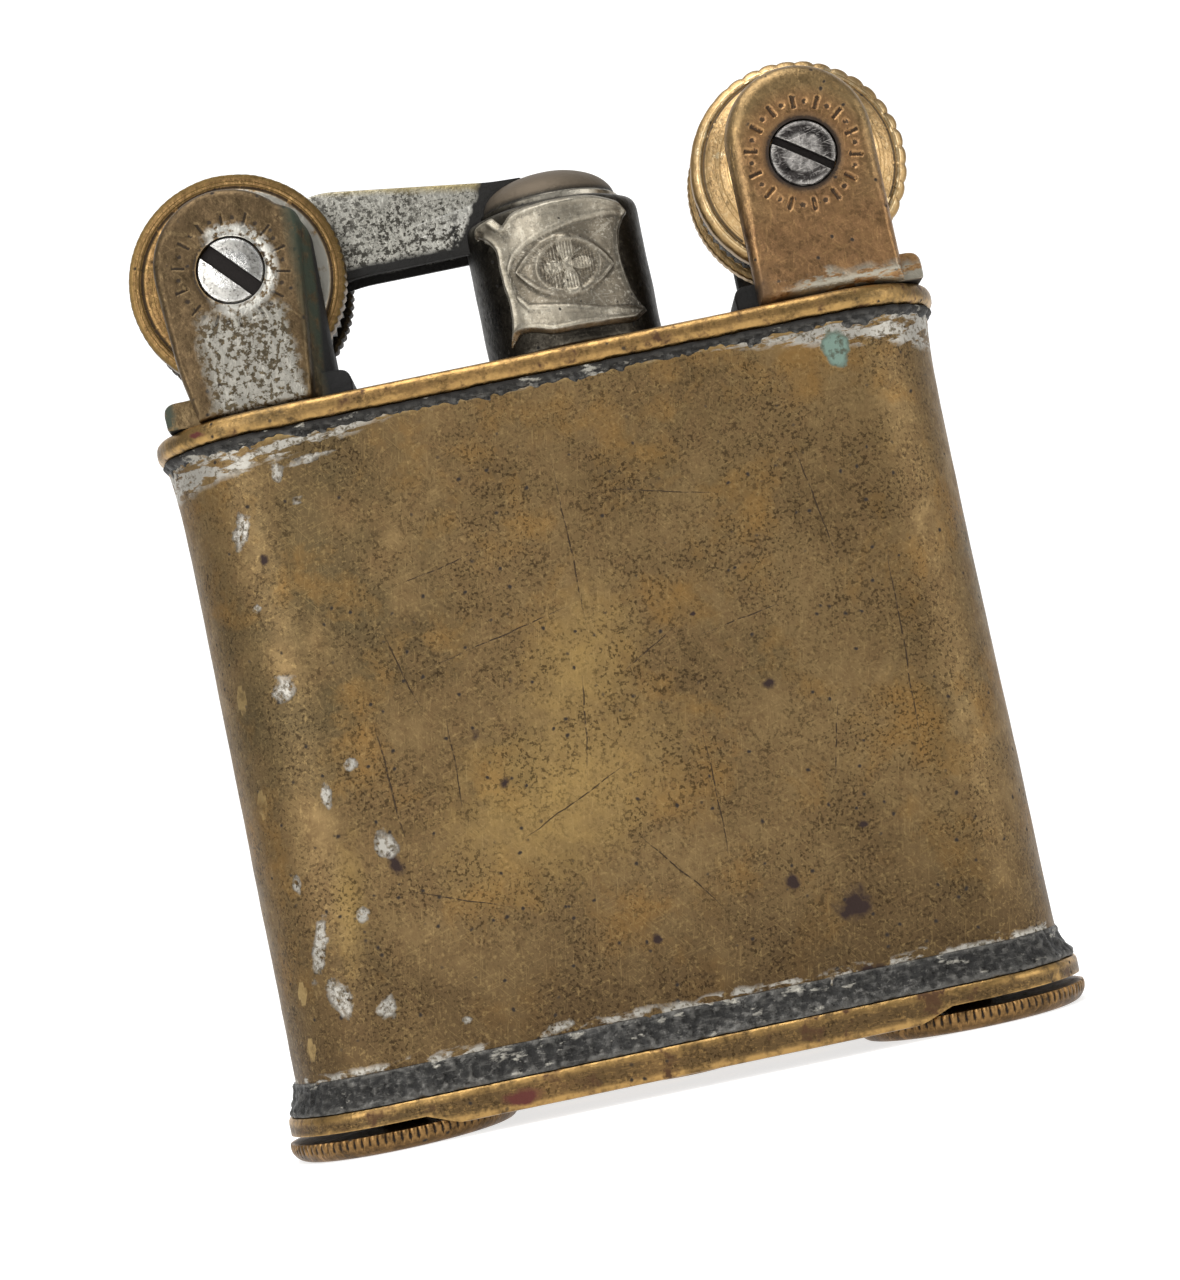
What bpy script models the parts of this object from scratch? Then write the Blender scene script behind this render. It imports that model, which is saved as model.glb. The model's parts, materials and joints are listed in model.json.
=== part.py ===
"""Twin-wheel petrol lighter: a flat oval brass case with a fork, a wheel and a
flint tube at each end of its deck, and a snuffer arm that caps the wick.

Metres, +Z up, +X to the right, front face towards -Y.  The origin is the middle
of the footprint, at the level of the two flint knobs that it stands on.
"""
from math import asin, atan2, cos, pi, sin

import bmesh
import bpy
from mathutils import Matrix, Vector

mm = 0.001

# Driving dimensions of the case
RIM_WIDTH = 47.0 * mm
RIM_DEPTH = 13.6 * mm
RIM_OVERHANG = 0.85 * mm
SHEET = 0.5 * mm
FIXED_GAP = 0.1 * mm
RUNNING_GAP = 0.15 * mm

# Heights of the levels, from the knobs' faces up
KNOB_HEIGHT = 1.15 * mm
BASE_BOTTOM = 0.85 * mm
BASE_RECESS = 1.6 * mm
BASE_TOP = 2.65 * mm
DECK_BOTTOM = 41.45 * mm
DECK_TOP = 42.75 * mm
AXLE_HEIGHT = 51.05 * mm
TUBE_OFFSET = 16.85 * mm
FORK_SHIFT = 0.3 * mm

# Forks
EAR_WIDTH = 8.6 * mm
EAR_FACE = 6.0 * mm
EAR_SHEET = 1.2 * mm
EAR_ARCH_RISE = 1.0 * mm
PAD_WIDTH = 11.0 * mm
PAD_HEIGHT = 1.6 * mm

# Wheels
DISC_RADIUS = 6.4 * mm
DISC_FACE = 3.0 * mm
DISC_BACK = 1.75 * mm
DISC_NOSE = 4.5 * mm
SPARK_RADIUS = 6.05 * mm
SPARK_HALF = 1.1 * mm
SLEEVE_RADIUS = 1.6 * mm
SCREW_RADIUS = 0.95 * mm
HEAD_RADIUS = 1.9 * mm
HEAD_DEPTH = 0.75 * mm

# Snuffer and burner
CAP_OFFSET = 2.2 * mm
CAP_BOTTOM = DECK_TOP + 0.2 * mm
CUP_RADIUS = 5.25 * mm
CUP_BORE = 4.3 * mm
CUP_TOP = DECK_TOP + 8.9 * mm
BAND_RADIUS = 4.3 * mm
BAND_TOP = DECK_TOP + 9.4 * mm
DOME_RADIUS = 4.1 * mm
DOME_TOP = DECK_TOP + 11.5 * mm
CARTOUCHE_REACH = 62 * pi / 180
CARTOUCHE_DEPTH = 0.4 * mm
CARTOUCHE_BOTTOM = DECK_TOP + 0.9 * mm
CARTOUCHE_TOP = DECK_TOP + 8.4 * mm
PLATE_INNER = 1.2 * mm
PLATE_OUTER = 1.55 * mm
BURNER_OFFSET = 2.3 * mm
BURNER_RADIUS = 2.0 * mm
BURNER_BORE = 1.65 * mm
BURNER_TOP = DECK_TOP + 4.0 * mm
WICK_TOP = DECK_TOP + 5.8 * mm

# Flint feed
TUBE_RADIUS = 2.3 * mm
TUBE_BORE = 1.5 * mm
TUBE_TOP = DECK_TOP + PAD_HEIGHT
KNOB_RADIUS = 6.8 * mm
SHANK_RADIUS = 1.35 * mm
SHANK_TOP = 9.0 * mm
FLINT_RADIUS = 1.2 * mm
FLINT_LENGTH = 5.4 * mm
FLINT_TOP = AXLE_HEIGHT - SPARK_RADIUS - 0.1 * mm

# Filler in the middle of the base
FILLER_HEAD_RADIUS = 3.6 * mm
FILLER_HEAD_BOTTOM = 0.5 * mm
FILLER_HEAD_TOP = 1.2 * mm
FILLER_SHANK_RADIUS = 1.9 * mm
FILLER_SHANK_TOP = 6.0 * mm
COUNTERBORE_TOP = 1.75 * mm

ARC_STEPS = 14
ROUND_STEPS = 32

CASE_WIDTH = RIM_WIDTH - 2 * RIM_OVERHANG
CASE_DEPTH = RIM_DEPTH - 2 * RIM_OVERHANG
SIDES = {"left": -TUBE_OFFSET, "right": TUBE_OFFSET}
AXLES = {side: x + FORK_SHIFT for side, x in SIDES.items()}


# ---------------------------------------------------------------- materials
def metal(name, colour, roughness, metallic=1.0):
    """A Principled material of one linear colour."""
    material = bpy.data.materials.new(name)
    material.use_nodes = True
    shader = material.node_tree.nodes["Principled BSDF"]
    shader.inputs["Base Color"].default_value = (*colour, 1.0)
    shader.inputs["Metallic"].default_value = metallic
    shader.inputs["Roughness"].default_value = roughness
    return material


def make_materials():
    return {
        "case_brass": metal("aged_case_brass", (0.22, 0.14, 0.05), 0.48),
        "rim_brass": metal("rubbed_rim_brass", (0.34, 0.20, 0.07), 0.38),
        "solder": metal("grey_solder", (0.12, 0.12, 0.11), 0.6),
        "fork_brass": metal("fork_brass", (0.28, 0.17, 0.06), 0.42),
        "disc_brass": metal("disc_brass", (0.45, 0.29, 0.09), 0.33),
        "nickel": metal("nickel_silver", (0.42, 0.40, 0.34), 0.35),
        "cap_nickel": metal("cap_nickel_silver", (0.25, 0.23, 0.18), 0.38),
        "dark_steel": metal("blued_steel", (0.03, 0.03, 0.035), 0.5),
        "bright_steel": metal("bright_steel", (0.5, 0.48, 0.48), 0.28),
        "spring_steel": metal("spring_steel", (0.3, 0.3, 0.32), 0.35),
        "flint": metal("ferrocerium", (0.10, 0.10, 0.11), 0.6, 0.6),
        "cotton": metal("cotton_wadding", (0.6, 0.56, 0.47), 0.95, 0.0),
        "wick": metal("charred_wick", (0.12, 0.10, 0.08), 0.95, 0.0),
        "fibre": metal("fibre_washer", (0.25, 0.06, 0.03), 0.8, 0.0),
    }


# ---------------------------------------------------------------- outlines
def flat_oval(width, depth, height=0.0):
    """Outline of an oval with straight sides and half-round ends."""
    radius = depth / 2
    reach = width / 2 - radius
    points = []
    for centre, start in ((reach, -pi / 2), (-reach, pi / 2)):
        for step in range(ARC_STEPS + 1):
            angle = start + pi * step / ARC_STEPS
            points.append(Vector((centre + radius * cos(angle), radius * sin(angle), height)))
    return points


def circle(radius, height=0.0, steps=ROUND_STEPS):
    return [Vector((radius * cos(2 * pi * i / steps), radius * sin(2 * pi * i / steps), height))
            for i in range(steps)]


def toothed(radius, depth, teeth, height=0.0):
    """Outline of a straight-knurled edge: a crest and a root for each tooth."""
    points = []
    for i in range(2 * teeth):
        reach = radius - (depth if i % 2 else 0.0)
        angle = pi * i / teeth
        points.append(Vector((reach * cos(angle), reach * sin(angle), height)))
    return points


# ---------------------------------------------------------------- solids
def skin(rings, looped=False):
    """A closed mesh through rings of equal count: ends capped, or joined in a loop."""
    bm = bmesh.new()
    rows = [[bm.verts.new(point) for point in ring] for ring in rings]
    count = len(rows[0])
    pairs = list(zip(rows, rows[1:]))
    if looped:
        pairs.append((rows[-1], rows[0]))
    else:
        bm.faces.new(rows[0])
        bm.faces.new(rows[-1])
    for lower, upper in pairs:
        for i in range(count):
            j = (i + 1) % count
            bm.faces.new((lower[i], lower[j], upper[j], upper[i]))
    bmesh.ops.recalc_face_normals(bm, faces=bm.faces)
    return bm


def raised(outline, height):
    return [Vector((point.x, point.y, height)) for point in outline]


def prism(outline, bottom, top):
    return skin([raised(outline, bottom), raised(outline, top)])


def turned(profile, steps=ROUND_STEPS, bored=True):
    """A solid of revolution about Z from (radius, height) points."""
    return skin([circle(radius, height, steps) for radius, height in profile], looped=bored)


def block(low, high):
    corners = [Vector((low[0], low[1], 0)), Vector((high[0], low[1], 0)),
               Vector((high[0], high[1], 0)), Vector((low[0], high[1], 0))]
    return prism(corners, low[2], high[2])


def facing_front(bm):
    """Turns a solid built about Z so that its axis runs along -Y, top to the front."""
    bmesh.ops.rotate(bm, cent=(0, 0, 0), matrix=Matrix.Rotation(pi / 2, 3, "X"), verts=bm.verts)
    return bm


def place(name, bm, material, location=(0, 0, 0), parent=None, smooth=40):
    mesh = bpy.data.meshes.new(name)
    bm.to_mesh(mesh)
    bm.free()
    mesh.shade_smooth()
    mesh.set_sharp_from_angle(angle=smooth * pi / 180)
    mesh.materials.append(material)
    item = bpy.data.objects.new(name, mesh)
    item.location = location
    item.parent = parent
    bpy.context.scene.collection.objects.link(item)
    return item


def combine(target, operation, bm, name, location=None, solver="EXACT"):
    """Cuts or joins a hidden helper solid with a Boolean modifier."""
    helper = place(name, bm, target.data.materials[0])
    helper.location = target.location if location is None else location
    helper.parent = target.parent
    helper.hide_render = True
    helper.display_type = "WIRE"
    modifier = target.modifiers.new(name, "BOOLEAN")
    modifier.operation = operation
    modifier.solver = solver
    modifier.object = helper
    return helper


def drilled(target, name, radius, bottom, top, x, steps=30, solver="EXACT"):
    hole = prism(circle(radius, steps=steps), bottom, top)
    combine(target, "DIFFERENCE", hole, name, (x, 0, 0), solver)


def pivot(name, location):
    empty = bpy.data.objects.new(name, None)
    empty.location = location
    empty.empty_display_size = 4 * mm
    bpy.context.scene.collection.objects.link(empty)
    return empty


# ---------------------------------------------------------------- case
def make_case(materials):
    inner = flat_oval(CASE_WIDTH - 2 * SHEET, CASE_DEPTH - 2 * SHEET)
    outer = flat_oval(CASE_WIDTH, CASE_DEPTH)
    low, high = BASE_TOP + FIXED_GAP, DECK_BOTTOM - FIXED_GAP
    rings = [raised(outer, low), raised(outer, high), raised(inner, high), raised(inner, low)]
    place("case_shell", skin(rings, looped=True), materials["case_brass"])
    make_fillet("top_solder_fillet", DECK_BOTTOM - FIXED_GAP, -1.0 * mm, 0.3 * mm, materials["solder"])
    make_fillet("base_solder_fillet", BASE_TOP + FIXED_GAP, 1.7 * mm, 0.65 * mm, materials["solder"])
    make_top_plate(materials)
    make_bottom_plate(materials)


def make_fillet(name, seat, height, width, material):
    """The bead of solder that fills the corner between the case and a rim."""
    def ring(spread, level):
        return flat_oval(CASE_WIDTH + 2 * spread, CASE_DEPTH + 2 * spread, level)
    inner = FIXED_GAP
    rings = [ring(inner, seat), ring(inner + width, seat), ring(inner + width, seat + 0.15 * height),
             ring(inner + 0.35 * width, seat + 0.5 * height), ring(inner + 0.12 * mm, seat + height),
             ring(inner, seat + height)]
    place(name, skin(rings, looped=True), material)


def rim_plate(bottom, top, rounding):
    """A flat oval plate whose edge is rounded over above and below."""
    rings = []
    for level, inset in ((bottom, rounding), (bottom + rounding, 0.0),
                         (top - rounding, 0.0), (top, rounding)):
        rings.append(flat_oval(RIM_WIDTH - 2 * inset, RIM_DEPTH - 2 * inset, level))
    return skin(rings)


def make_top_plate(materials):
    plate = place("top_plate", rim_plate(DECK_BOTTOM, DECK_TOP, 0.35 * mm), materials["rim_brass"])
    for side, x in SIDES.items():
        drilled(plate, side + "_deck_hole", TUBE_RADIUS + FIXED_GAP, 40 * mm, 44 * mm, x, solver="MANIFOLD")
    drilled(plate, "burner_hole", BURNER_RADIUS + FIXED_GAP, 40 * mm, 44 * mm, BURNER_OFFSET,
            solver="MANIFOLD")


def make_bottom_plate(materials):
    plate = place("bottom_plate", rim_plate(BASE_BOTTOM, BASE_TOP, 0.25 * mm), materials["rim_brass"])
    for side, x in SIDES.items():
        drilled(plate, side + "_knob_recess", KNOB_RADIUS + RUNNING_GAP, 0, BASE_RECESS, x)
        drilled(plate, side + "_base_hole", TUBE_RADIUS + FIXED_GAP, 1 * mm, 4 * mm, x)
    drilled(plate, "filler_recess", FILLER_HEAD_RADIUS + RUNNING_GAP, 0, COUNTERBORE_TOP, 0)
    drilled(plate, "filler_hole", FILLER_SHANK_RADIUS + RUNNING_GAP, 1 * mm, 4 * mm, 0)


# ---------------------------------------------------------------- forks
def ear_outline(foot):
    """Front view of an ear about the axle: straight sides under a round arch."""
    half = EAR_WIDTH / 2
    points = [Vector((-half, foot, 0)), Vector((half, foot, 0))]
    for step in range(ARC_STEPS + 1):
        angle = pi * step / ARC_STEPS
        points.append(Vector((half * cos(angle), EAR_ARCH_RISE + half * sin(angle), 0)))
    return points


def ear_solid(foot, bevel):
    """An upright ear, its face at -Y, with the face's edge rounded over."""
    outline = ear_outline(foot)
    middle = Vector((0, (foot + EAR_ARCH_RISE) / 2, 0))
    shrink = 1 - 2 * bevel / EAR_WIDTH
    rings = []
    for depth, scale in ((EAR_FACE - EAR_SHEET, 1.0), (EAR_FACE - bevel, 1.0), (EAR_FACE, shrink)):
        rings.append([middle + (p - middle) * scale + Vector((0, 0, depth)) for p in outline])
    for ring in rings[-1:]:
        for point in ring:
            if point.y < foot / 2:
                point.y = foot if point.y < foot * 0.9 else point.y
    return facing_front(skin(rings))


def make_fork(side, x, tube_x, materials):
    """A pad soldered to the deck with two ears that carry the axle screw."""
    foot = DECK_TOP + FIXED_GAP - AXLE_HEIGHT
    top = DECK_TOP + PAD_HEIGHT - AXLE_HEIGHT
    half, depth, round_off = PAD_WIDTH / 2, EAR_FACE - EAR_SHEET / 2, 0.5 * mm
    section = [Vector((-half, foot, 0)), Vector((half, foot, 0)), Vector((half, top - round_off, 0)),
               Vector((half - round_off, top, 0)), Vector((round_off - half, top, 0)),
               Vector((-half, top - round_off, 0))]
    pad = facing_front(prism(section, -depth, depth))
    fork = place(side + "_fork", pad, materials["fork_brass"], (x, 0, AXLE_HEIGHT))
    combine(fork, "UNION", ear_solid(foot, 0.3 * mm), side + "_front_ear")
    rear = ear_solid(foot, 0.3 * mm)
    bmesh.ops.rotate(rear, cent=(0, 0, 0), matrix=Matrix.Rotation(pi, 3, "Z"), verts=rear.verts)
    combine(fork, "UNION", rear, side + "_rear_ear")
    drilled(fork, side + "_pad_hole", TUBE_RADIUS + FIXED_GAP, 40 * mm, 46 * mm, tube_x)
    head = facing_front(prism(circle(HEAD_RADIUS + FIXED_GAP), EAR_FACE - HEAD_DEPTH - FIXED_GAP, 8 * mm))
    combine(fork, "DIFFERENCE", head, side + "_head_seat")
    bore = facing_front(prism(circle(SCREW_RADIUS + FIXED_GAP, steps=24), -8 * mm, 8 * mm))
    combine(fork, "DIFFERENCE", bore, side + "_axle_bore")


def make_axle_screw(side, x, slot_width, slot_angle, material):
    """The slotted cheese-head screw that the wheel turns on."""
    nose = EAR_FACE + 0.12 * mm
    profile = [(SCREW_RADIUS, 0.25 * mm - EAR_FACE), (SCREW_RADIUS, EAR_FACE - HEAD_DEPTH),
               (HEAD_RADIUS, EAR_FACE - HEAD_DEPTH), (HEAD_RADIUS, nose - 0.12 * mm),
               (HEAD_RADIUS - 0.2 * mm, nose)]
    screw = place(side + "_axle_screw", facing_front(turned(profile, bored=False)), material,
                  (x, 0, AXLE_HEIGHT))
    slot = block((-3 * mm, -8 * mm, -slot_width / 2), (3 * mm, 0.45 * mm - EAR_FACE, slot_width / 2))
    bmesh.ops.rotate(slot, cent=(0, 0, 0), matrix=Matrix.Rotation(slot_angle, 3, "Y"), verts=slot.verts)
    combine(screw, "DIFFERENCE", slot, side + "_screw_slot")


# ---------------------------------------------------------------- wheels
def disc_solid(teeth, depth, face, back, nose, edge):
    """A thumb disc: knurled edge, raised face ring and a coned hub, bored for the sleeve."""
    bore = SLEEVE_RADIUS + FIXED_GAP
    steps = 2 * teeth
    def plain(radius, level):
        return circle(radius, level, steps)
    rings = [plain(bore, back), plain(DISC_RADIUS - edge, back),
             toothed(DISC_RADIUS, depth, teeth, back + edge / 2),
             toothed(DISC_RADIUS, depth, teeth, face - edge / 2),
             plain(DISC_RADIUS - 1.6 * edge, face), plain(4.3 * mm, face + 0.15 * mm),
             plain(2.6 * mm, nose), plain(bore, nose)]
    return skin(rings, looped=True)


def make_wheel(side, scallops, axle, materials):
    """Two thumb discs with the hardened spark wheel between them on one sleeve."""
    edge = 0.3 * mm
    teeth, depth = (scallops, 0.25 * mm) if scallops else (20, 0.0)
    front = disc_solid(teeth, depth, DISC_FACE, DISC_BACK, DISC_NOSE, edge)
    place(side + "_front_disc", facing_front(front), materials["disc_brass"], parent=axle)
    rear = facing_front(disc_solid(20, 0.0, DISC_FACE, DISC_BACK, DISC_NOSE, edge))
    bmesh.ops.rotate(rear, cent=(0, 0, 0), matrix=Matrix.Rotation(pi, 3, "Z"), verts=rear.verts)
    place(side + "_rear_disc", rear, materials["disc_brass"], parent=axle)

    spark_teeth = 30
    bore = SLEEVE_RADIUS + FIXED_GAP
    spark = skin([circle(bore, -SPARK_HALF, 2 * spark_teeth),
                  toothed(SPARK_RADIUS, 0.3 * mm, spark_teeth, -SPARK_HALF),
                  toothed(SPARK_RADIUS, 0.3 * mm, spark_teeth, SPARK_HALF),
                  circle(bore, SPARK_HALF, 2 * spark_teeth)], looped=True)
    place(side + "_spark_wheel", facing_front(spark), materials["dark_steel"], parent=axle)

    reach = EAR_FACE - EAR_SHEET - RUNNING_GAP
    inner = SCREW_RADIUS + RUNNING_GAP
    profile = [(inner, -reach), (SLEEVE_RADIUS, -reach), (SLEEVE_RADIUS, reach), (inner, reach)]
    place(side + "_hub_sleeve", facing_front(turned(profile, 28)), materials["disc_brass"], parent=axle)


# ---------------------------------------------------------------- snuffer
def arm_side():
    """Side view of the arm from its round hub to the cap, about the axle."""
    reach = CAP_OFFSET - AXLES["left"]
    bottom = DECK_TOP + 7.4 * mm - AXLE_HEIGHT
    top_near = DECK_TOP + 12.9 * mm - AXLE_HEIGHT
    top_far = DECK_TOP + 11.4 * mm - AXLE_HEIGHT
    shoulder = CUP_TOP + FIXED_GAP - AXLE_HEIGHT
    cup_edge = reach - CUP_RADIUS - FIXED_GAP
    dome_edge = reach - BAND_RADIUS - FIXED_GAP
    hub = 3.1 * mm
    top_start = 7.2 * mm
    tangent = asin((hub + bottom) / top_start) / 2
    points = []
    steps = 14
    first, last = 1.5 * pi + tangent, 0.5 * pi + 0.25
    for step in range(steps + 1):
        angle = first + (last - first) * step / steps
        points.append(Vector((hub * cos(angle), hub * sin(angle), 0)))
    points.reverse()
    points += [Vector((top_start, bottom, 0)), Vector((cup_edge, bottom, 0)),
               Vector((cup_edge, shoulder, 0)), Vector((dome_edge, shoulder, 0)),
               Vector((dome_edge, top_far, 0)), Vector((top_start - 1.4 * mm, top_near, 0))]
    return points


def make_arm(swing, materials):
    """An inverted channel: two plates that straddle the spark wheel, and a roof."""
    arm = place("snuffer_arm", facing_front(prism(arm_side(), -PLATE_OUTER, PLATE_OUTER)),
                materials["nickel"], parent=swing)
    roof = 0.45 * mm
    under = DECK_TOP + 12.9 * mm - AXLE_HEIGHT - roof
    slope = atan2(1.5 * mm, 11.0 * mm)
    hollow = block((-8 * mm, -PLATE_INNER, -9 * mm), (0, PLATE_INNER, 9 * mm))
    combine(arm, "DIFFERENCE", hollow, "wheel_room")
    clear = facing_front(prism(circle(SPARK_RADIUS + 2 * RUNNING_GAP, steps=64), -PLATE_INNER, PLATE_INNER))
    combine(arm, "DIFFERENCE", clear, "wheel_clearance")
    trough = block((4 * mm, -PLATE_INNER, -9 * mm), (30 * mm, PLATE_INNER, 0))
    bmesh.ops.rotate(trough, cent=(4 * mm, 0, 0), matrix=Matrix.Rotation(slope, 3, "Y"), verts=trough.verts)
    bmesh.ops.translate(trough, vec=(0, 0, under + 0.25 * mm), verts=trough.verts)
    combine(arm, "DIFFERENCE", trough, "channel_hollow")
    bore = facing_front(prism(circle(SLEEVE_RADIUS + RUNNING_GAP), -4 * mm, 4 * mm))
    combine(arm, "DIFFERENCE", bore, "arm_bore")


def make_cap(swing, materials):
    """A domed cup that smothers the flame, with an ornamental plate on its front."""
    reach = CAP_OFFSET - AXLES["left"]
    shoulder = 0.7 * mm
    profile = [(CUP_RADIUS, CAP_BOTTOM), (CUP_RADIUS, CUP_TOP - shoulder),
               (CUP_RADIUS - 0.3 * shoulder, CUP_TOP - 0.3 * shoulder), (CUP_RADIUS - shoulder, CUP_TOP),
               (BAND_RADIUS, CUP_TOP), (BAND_RADIUS, BAND_TOP), (DOME_RADIUS, BAND_TOP)]
    rise, steps = DOME_TOP - BAND_TOP, 7
    for step in range(1, steps):
        angle = 0.5 * pi * step / steps
        profile.append((DOME_RADIUS * cos(angle), BAND_TOP + rise * sin(angle)))
    outside = turned(profile, bored=False)
    bmesh.ops.translate(outside, vec=(0, 0, -AXLE_HEIGHT), verts=outside.verts)
    cup = place("snuffer_cup", outside, materials["cap_nickel"], (reach, 0, 0), swing)
    roof = CUP_TOP - 0.6 * mm - AXLE_HEIGHT
    combine(cup, "DIFFERENCE", prism(circle(CUP_BORE), -12 * mm, roof), "cup_hollow")

    low, high = CARTOUCHE_BOTTOM - AXLE_HEIGHT, CARTOUCHE_TOP - AXLE_HEIGHT
    inner = CUP_RADIUS + FIXED_GAP
    outer = inner + CARTOUCHE_DEPTH
    rings, steps = [], 16
    for step in range(steps + 1):
        angle = -pi / 2 + CARTOUCHE_REACH * (2 * step / steps - 1)
        across = Vector((cos(angle), sin(angle), 0))
        rings.append([across * inner + Vector((0, 0, low)), across * outer + Vector((0, 0, low)),
                      across * outer + Vector((0, 0, high)), across * inner + Vector((0, 0, high))])
    place("cap_cartouche", skin(rings), materials["cap_nickel"], (reach, 0, 0), swing)


def make_burner(materials):
    """The wick tube with its collar on the deck, the wick and the packed cotton."""
    collar, gap = 3.0 * mm, FIXED_GAP
    profile = [(BURNER_BORE, 38 * mm), (BURNER_RADIUS, 38 * mm), (BURNER_RADIUS, DECK_TOP + gap),
               (collar, DECK_TOP + gap), (collar, DECK_TOP + 0.7 * mm),
               (BURNER_RADIUS, DECK_TOP + 0.9 * mm), (BURNER_RADIUS, BURNER_TOP), (BURNER_BORE, BURNER_TOP)]
    place("burner_tube", turned(profile, 28), materials["disc_brass"], (BURNER_OFFSET, 0, 0))
    wick = prism(circle(BURNER_BORE - gap, steps=20), 12 * mm, WICK_TOP)
    place("wick", wick, materials["wick"], (BURNER_OFFSET, 0, 0))
    clearance = SHEET + 0.3 * mm
    outline = flat_oval(CASE_WIDTH - 2 * clearance, CASE_DEPTH - 2 * clearance)
    cotton = place("cotton_wadding", prism(outline, 6.4 * mm, 38.0 * mm), materials["cotton"])
    for side, x in SIDES.items():
        drilled(cotton, side + "_tube_room", TUBE_RADIUS + 2 * gap, 5 * mm, 40 * mm, x, steps=24)
    drilled(cotton, "wick_room", BURNER_BORE, 11 * mm, 40 * mm, BURNER_OFFSET, steps=20)


# ---------------------------------------------------------------- flint feed
def spring_curve(bottom, top, radius, wire, turns):
    """A close-wound compression spring as a bevelled spiral curve."""
    curve = bpy.data.curves.new("flint_spring", "CURVE")
    curve.dimensions = "3D"
    curve.bevel_depth = wire / 2
    curve.bevel_resolution = 0
    curve.use_fill_caps = True
    steps = 8 * turns
    spline = curve.splines.new("POLY")
    spline.points.add(steps)
    for i in range(steps + 1):
        angle = 2 * pi * turns * i / steps
        level = bottom + (top - bottom) * i / steps
        spline.points[i].co = (radius * cos(angle), radius * sin(angle), level, 1.0)
    return curve


def make_flint_feed(side, x, materials):
    """Tube, flint, follower, spring and the knurled knob that closes the tube."""
    low = BASE_RECESS + FIXED_GAP
    profile = [(TUBE_BORE, low), (TUBE_RADIUS, low), (TUBE_RADIUS, TUBE_TOP), (TUBE_BORE, TUBE_TOP)]
    place(side + "_flint_tube", turned(profile, 28), materials["disc_brass"], (x, 0, 0))

    flint_bottom = FLINT_TOP - FLINT_LENGTH
    seat = pivot(side + "_flint_axis", (x, 0, flint_bottom))
    place(side + "_flint", prism(circle(FLINT_RADIUS, steps=20), 0, FLINT_LENGTH),
          materials["flint"], parent=seat)
    head, stem = 1.0 * mm, 0.55 * mm
    profile = [(stem, -3.5 * mm), (stem, -head - FIXED_GAP), (FLINT_RADIUS, -head - FIXED_GAP),
               (FLINT_RADIUS, -FIXED_GAP)]
    place(side + "_flint_follower", turned(profile, 20, bored=False), materials["disc_brass"], parent=seat)

    wire = 0.35 * mm
    spring = spring_curve(SHANK_TOP + 0.35 * mm, flint_bottom - head - 0.35 * mm - FIXED_GAP,
                          FLINT_RADIUS - wire / 2, wire, 12)
    coil = bpy.data.objects.new(side + "_flint_spring", spring)
    coil.location = (x, 0, 0)
    spring.materials.append(materials["spring_steel"])
    bpy.context.scene.collection.objects.link(coil)

    screw = pivot(side + "_knob_axis", (x, 0, 0))
    edge = 0.25 * mm
    profile = [(KNOB_RADIUS - 2 * edge, 0), (KNOB_RADIUS, edge), (KNOB_RADIUS, KNOB_HEIGHT),
               (SHANK_RADIUS, KNOB_HEIGHT), (SHANK_RADIUS, SHANK_TOP)]
    place(side + "_flint_knob", turned(profile, 44, bored=False), materials["rim_brass"], parent=screw)


def make_filler(materials):
    """The bush inside the base, its fibre washer and the coin-slotted filler screw."""
    bore = FILLER_SHANK_RADIUS + FIXED_GAP
    bottom = BASE_TOP + FIXED_GAP
    profile = [(bore, bottom), (3.4 * mm, bottom), (3.4 * mm, 5.6 * mm), (bore, 5.6 * mm)]
    place("filler_bush", turned(profile, 28), materials["disc_brass"])
    seat = FILLER_HEAD_TOP + FIXED_GAP
    profile = [(bore, seat), (3.3 * mm, seat), (3.3 * mm, seat + 0.3 * mm), (bore, seat + 0.3 * mm)]
    place("filler_washer", turned(profile, 28), materials["fibre"])
    edge = 0.2 * mm
    profile = [(FILLER_HEAD_RADIUS - edge, FILLER_HEAD_BOTTOM), (FILLER_HEAD_RADIUS, FILLER_HEAD_BOTTOM + edge),
               (FILLER_HEAD_RADIUS, FILLER_HEAD_TOP), (FILLER_SHANK_RADIUS, FILLER_HEAD_TOP),
               (FILLER_SHANK_RADIUS, FILLER_SHANK_TOP)]
    screw = place("filler_screw", turned(profile, 36, bored=False), materials["rim_brass"])
    slot = block((-5 * mm, -0.5 * mm, -1 * mm), (5 * mm, 0.5 * mm, 0.85 * mm))
    combine(screw, "DIFFERENCE", slot, "coin_slot")


def main():
    for item in list(bpy.data.objects):
        bpy.data.objects.remove(item, do_unlink=True)
    materials = make_materials()
    make_case(materials)
    make_burner(materials)
    make_filler(materials)
    swing = pivot("snuffer_axis", (AXLES["left"], 0, AXLE_HEIGHT))
    make_arm(swing, materials)
    make_cap(swing, materials)
    for side, x in SIDES.items():
        make_fork(side, AXLES[side], x, materials)
        make_flint_feed(side, x, materials)
        axle = pivot(side + "_wheel_axis", (AXLES[side], 0, AXLE_HEIGHT))
        make_wheel(side, 46 if side == "right" else 0, axle, materials)
    make_axle_screw("left", AXLES["left"], 1.0 * mm, 47 * pi / 180, materials["bright_steel"])
    make_axle_screw("right", AXLES["right"], 0.5 * mm, 35 * pi / 180, materials["dark_steel"])


main()
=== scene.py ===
# Twin-wheel petrol lighter: worn brass case, two knurled striker wheels and an ornamental snuffer.
# Each piece is a surface worked out from a few sizes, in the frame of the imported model.
import json
from math import cos, pi, radians, sin

import bmesh
import bpy
import numpy as np
from mathutils import Matrix, Vector


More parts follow.
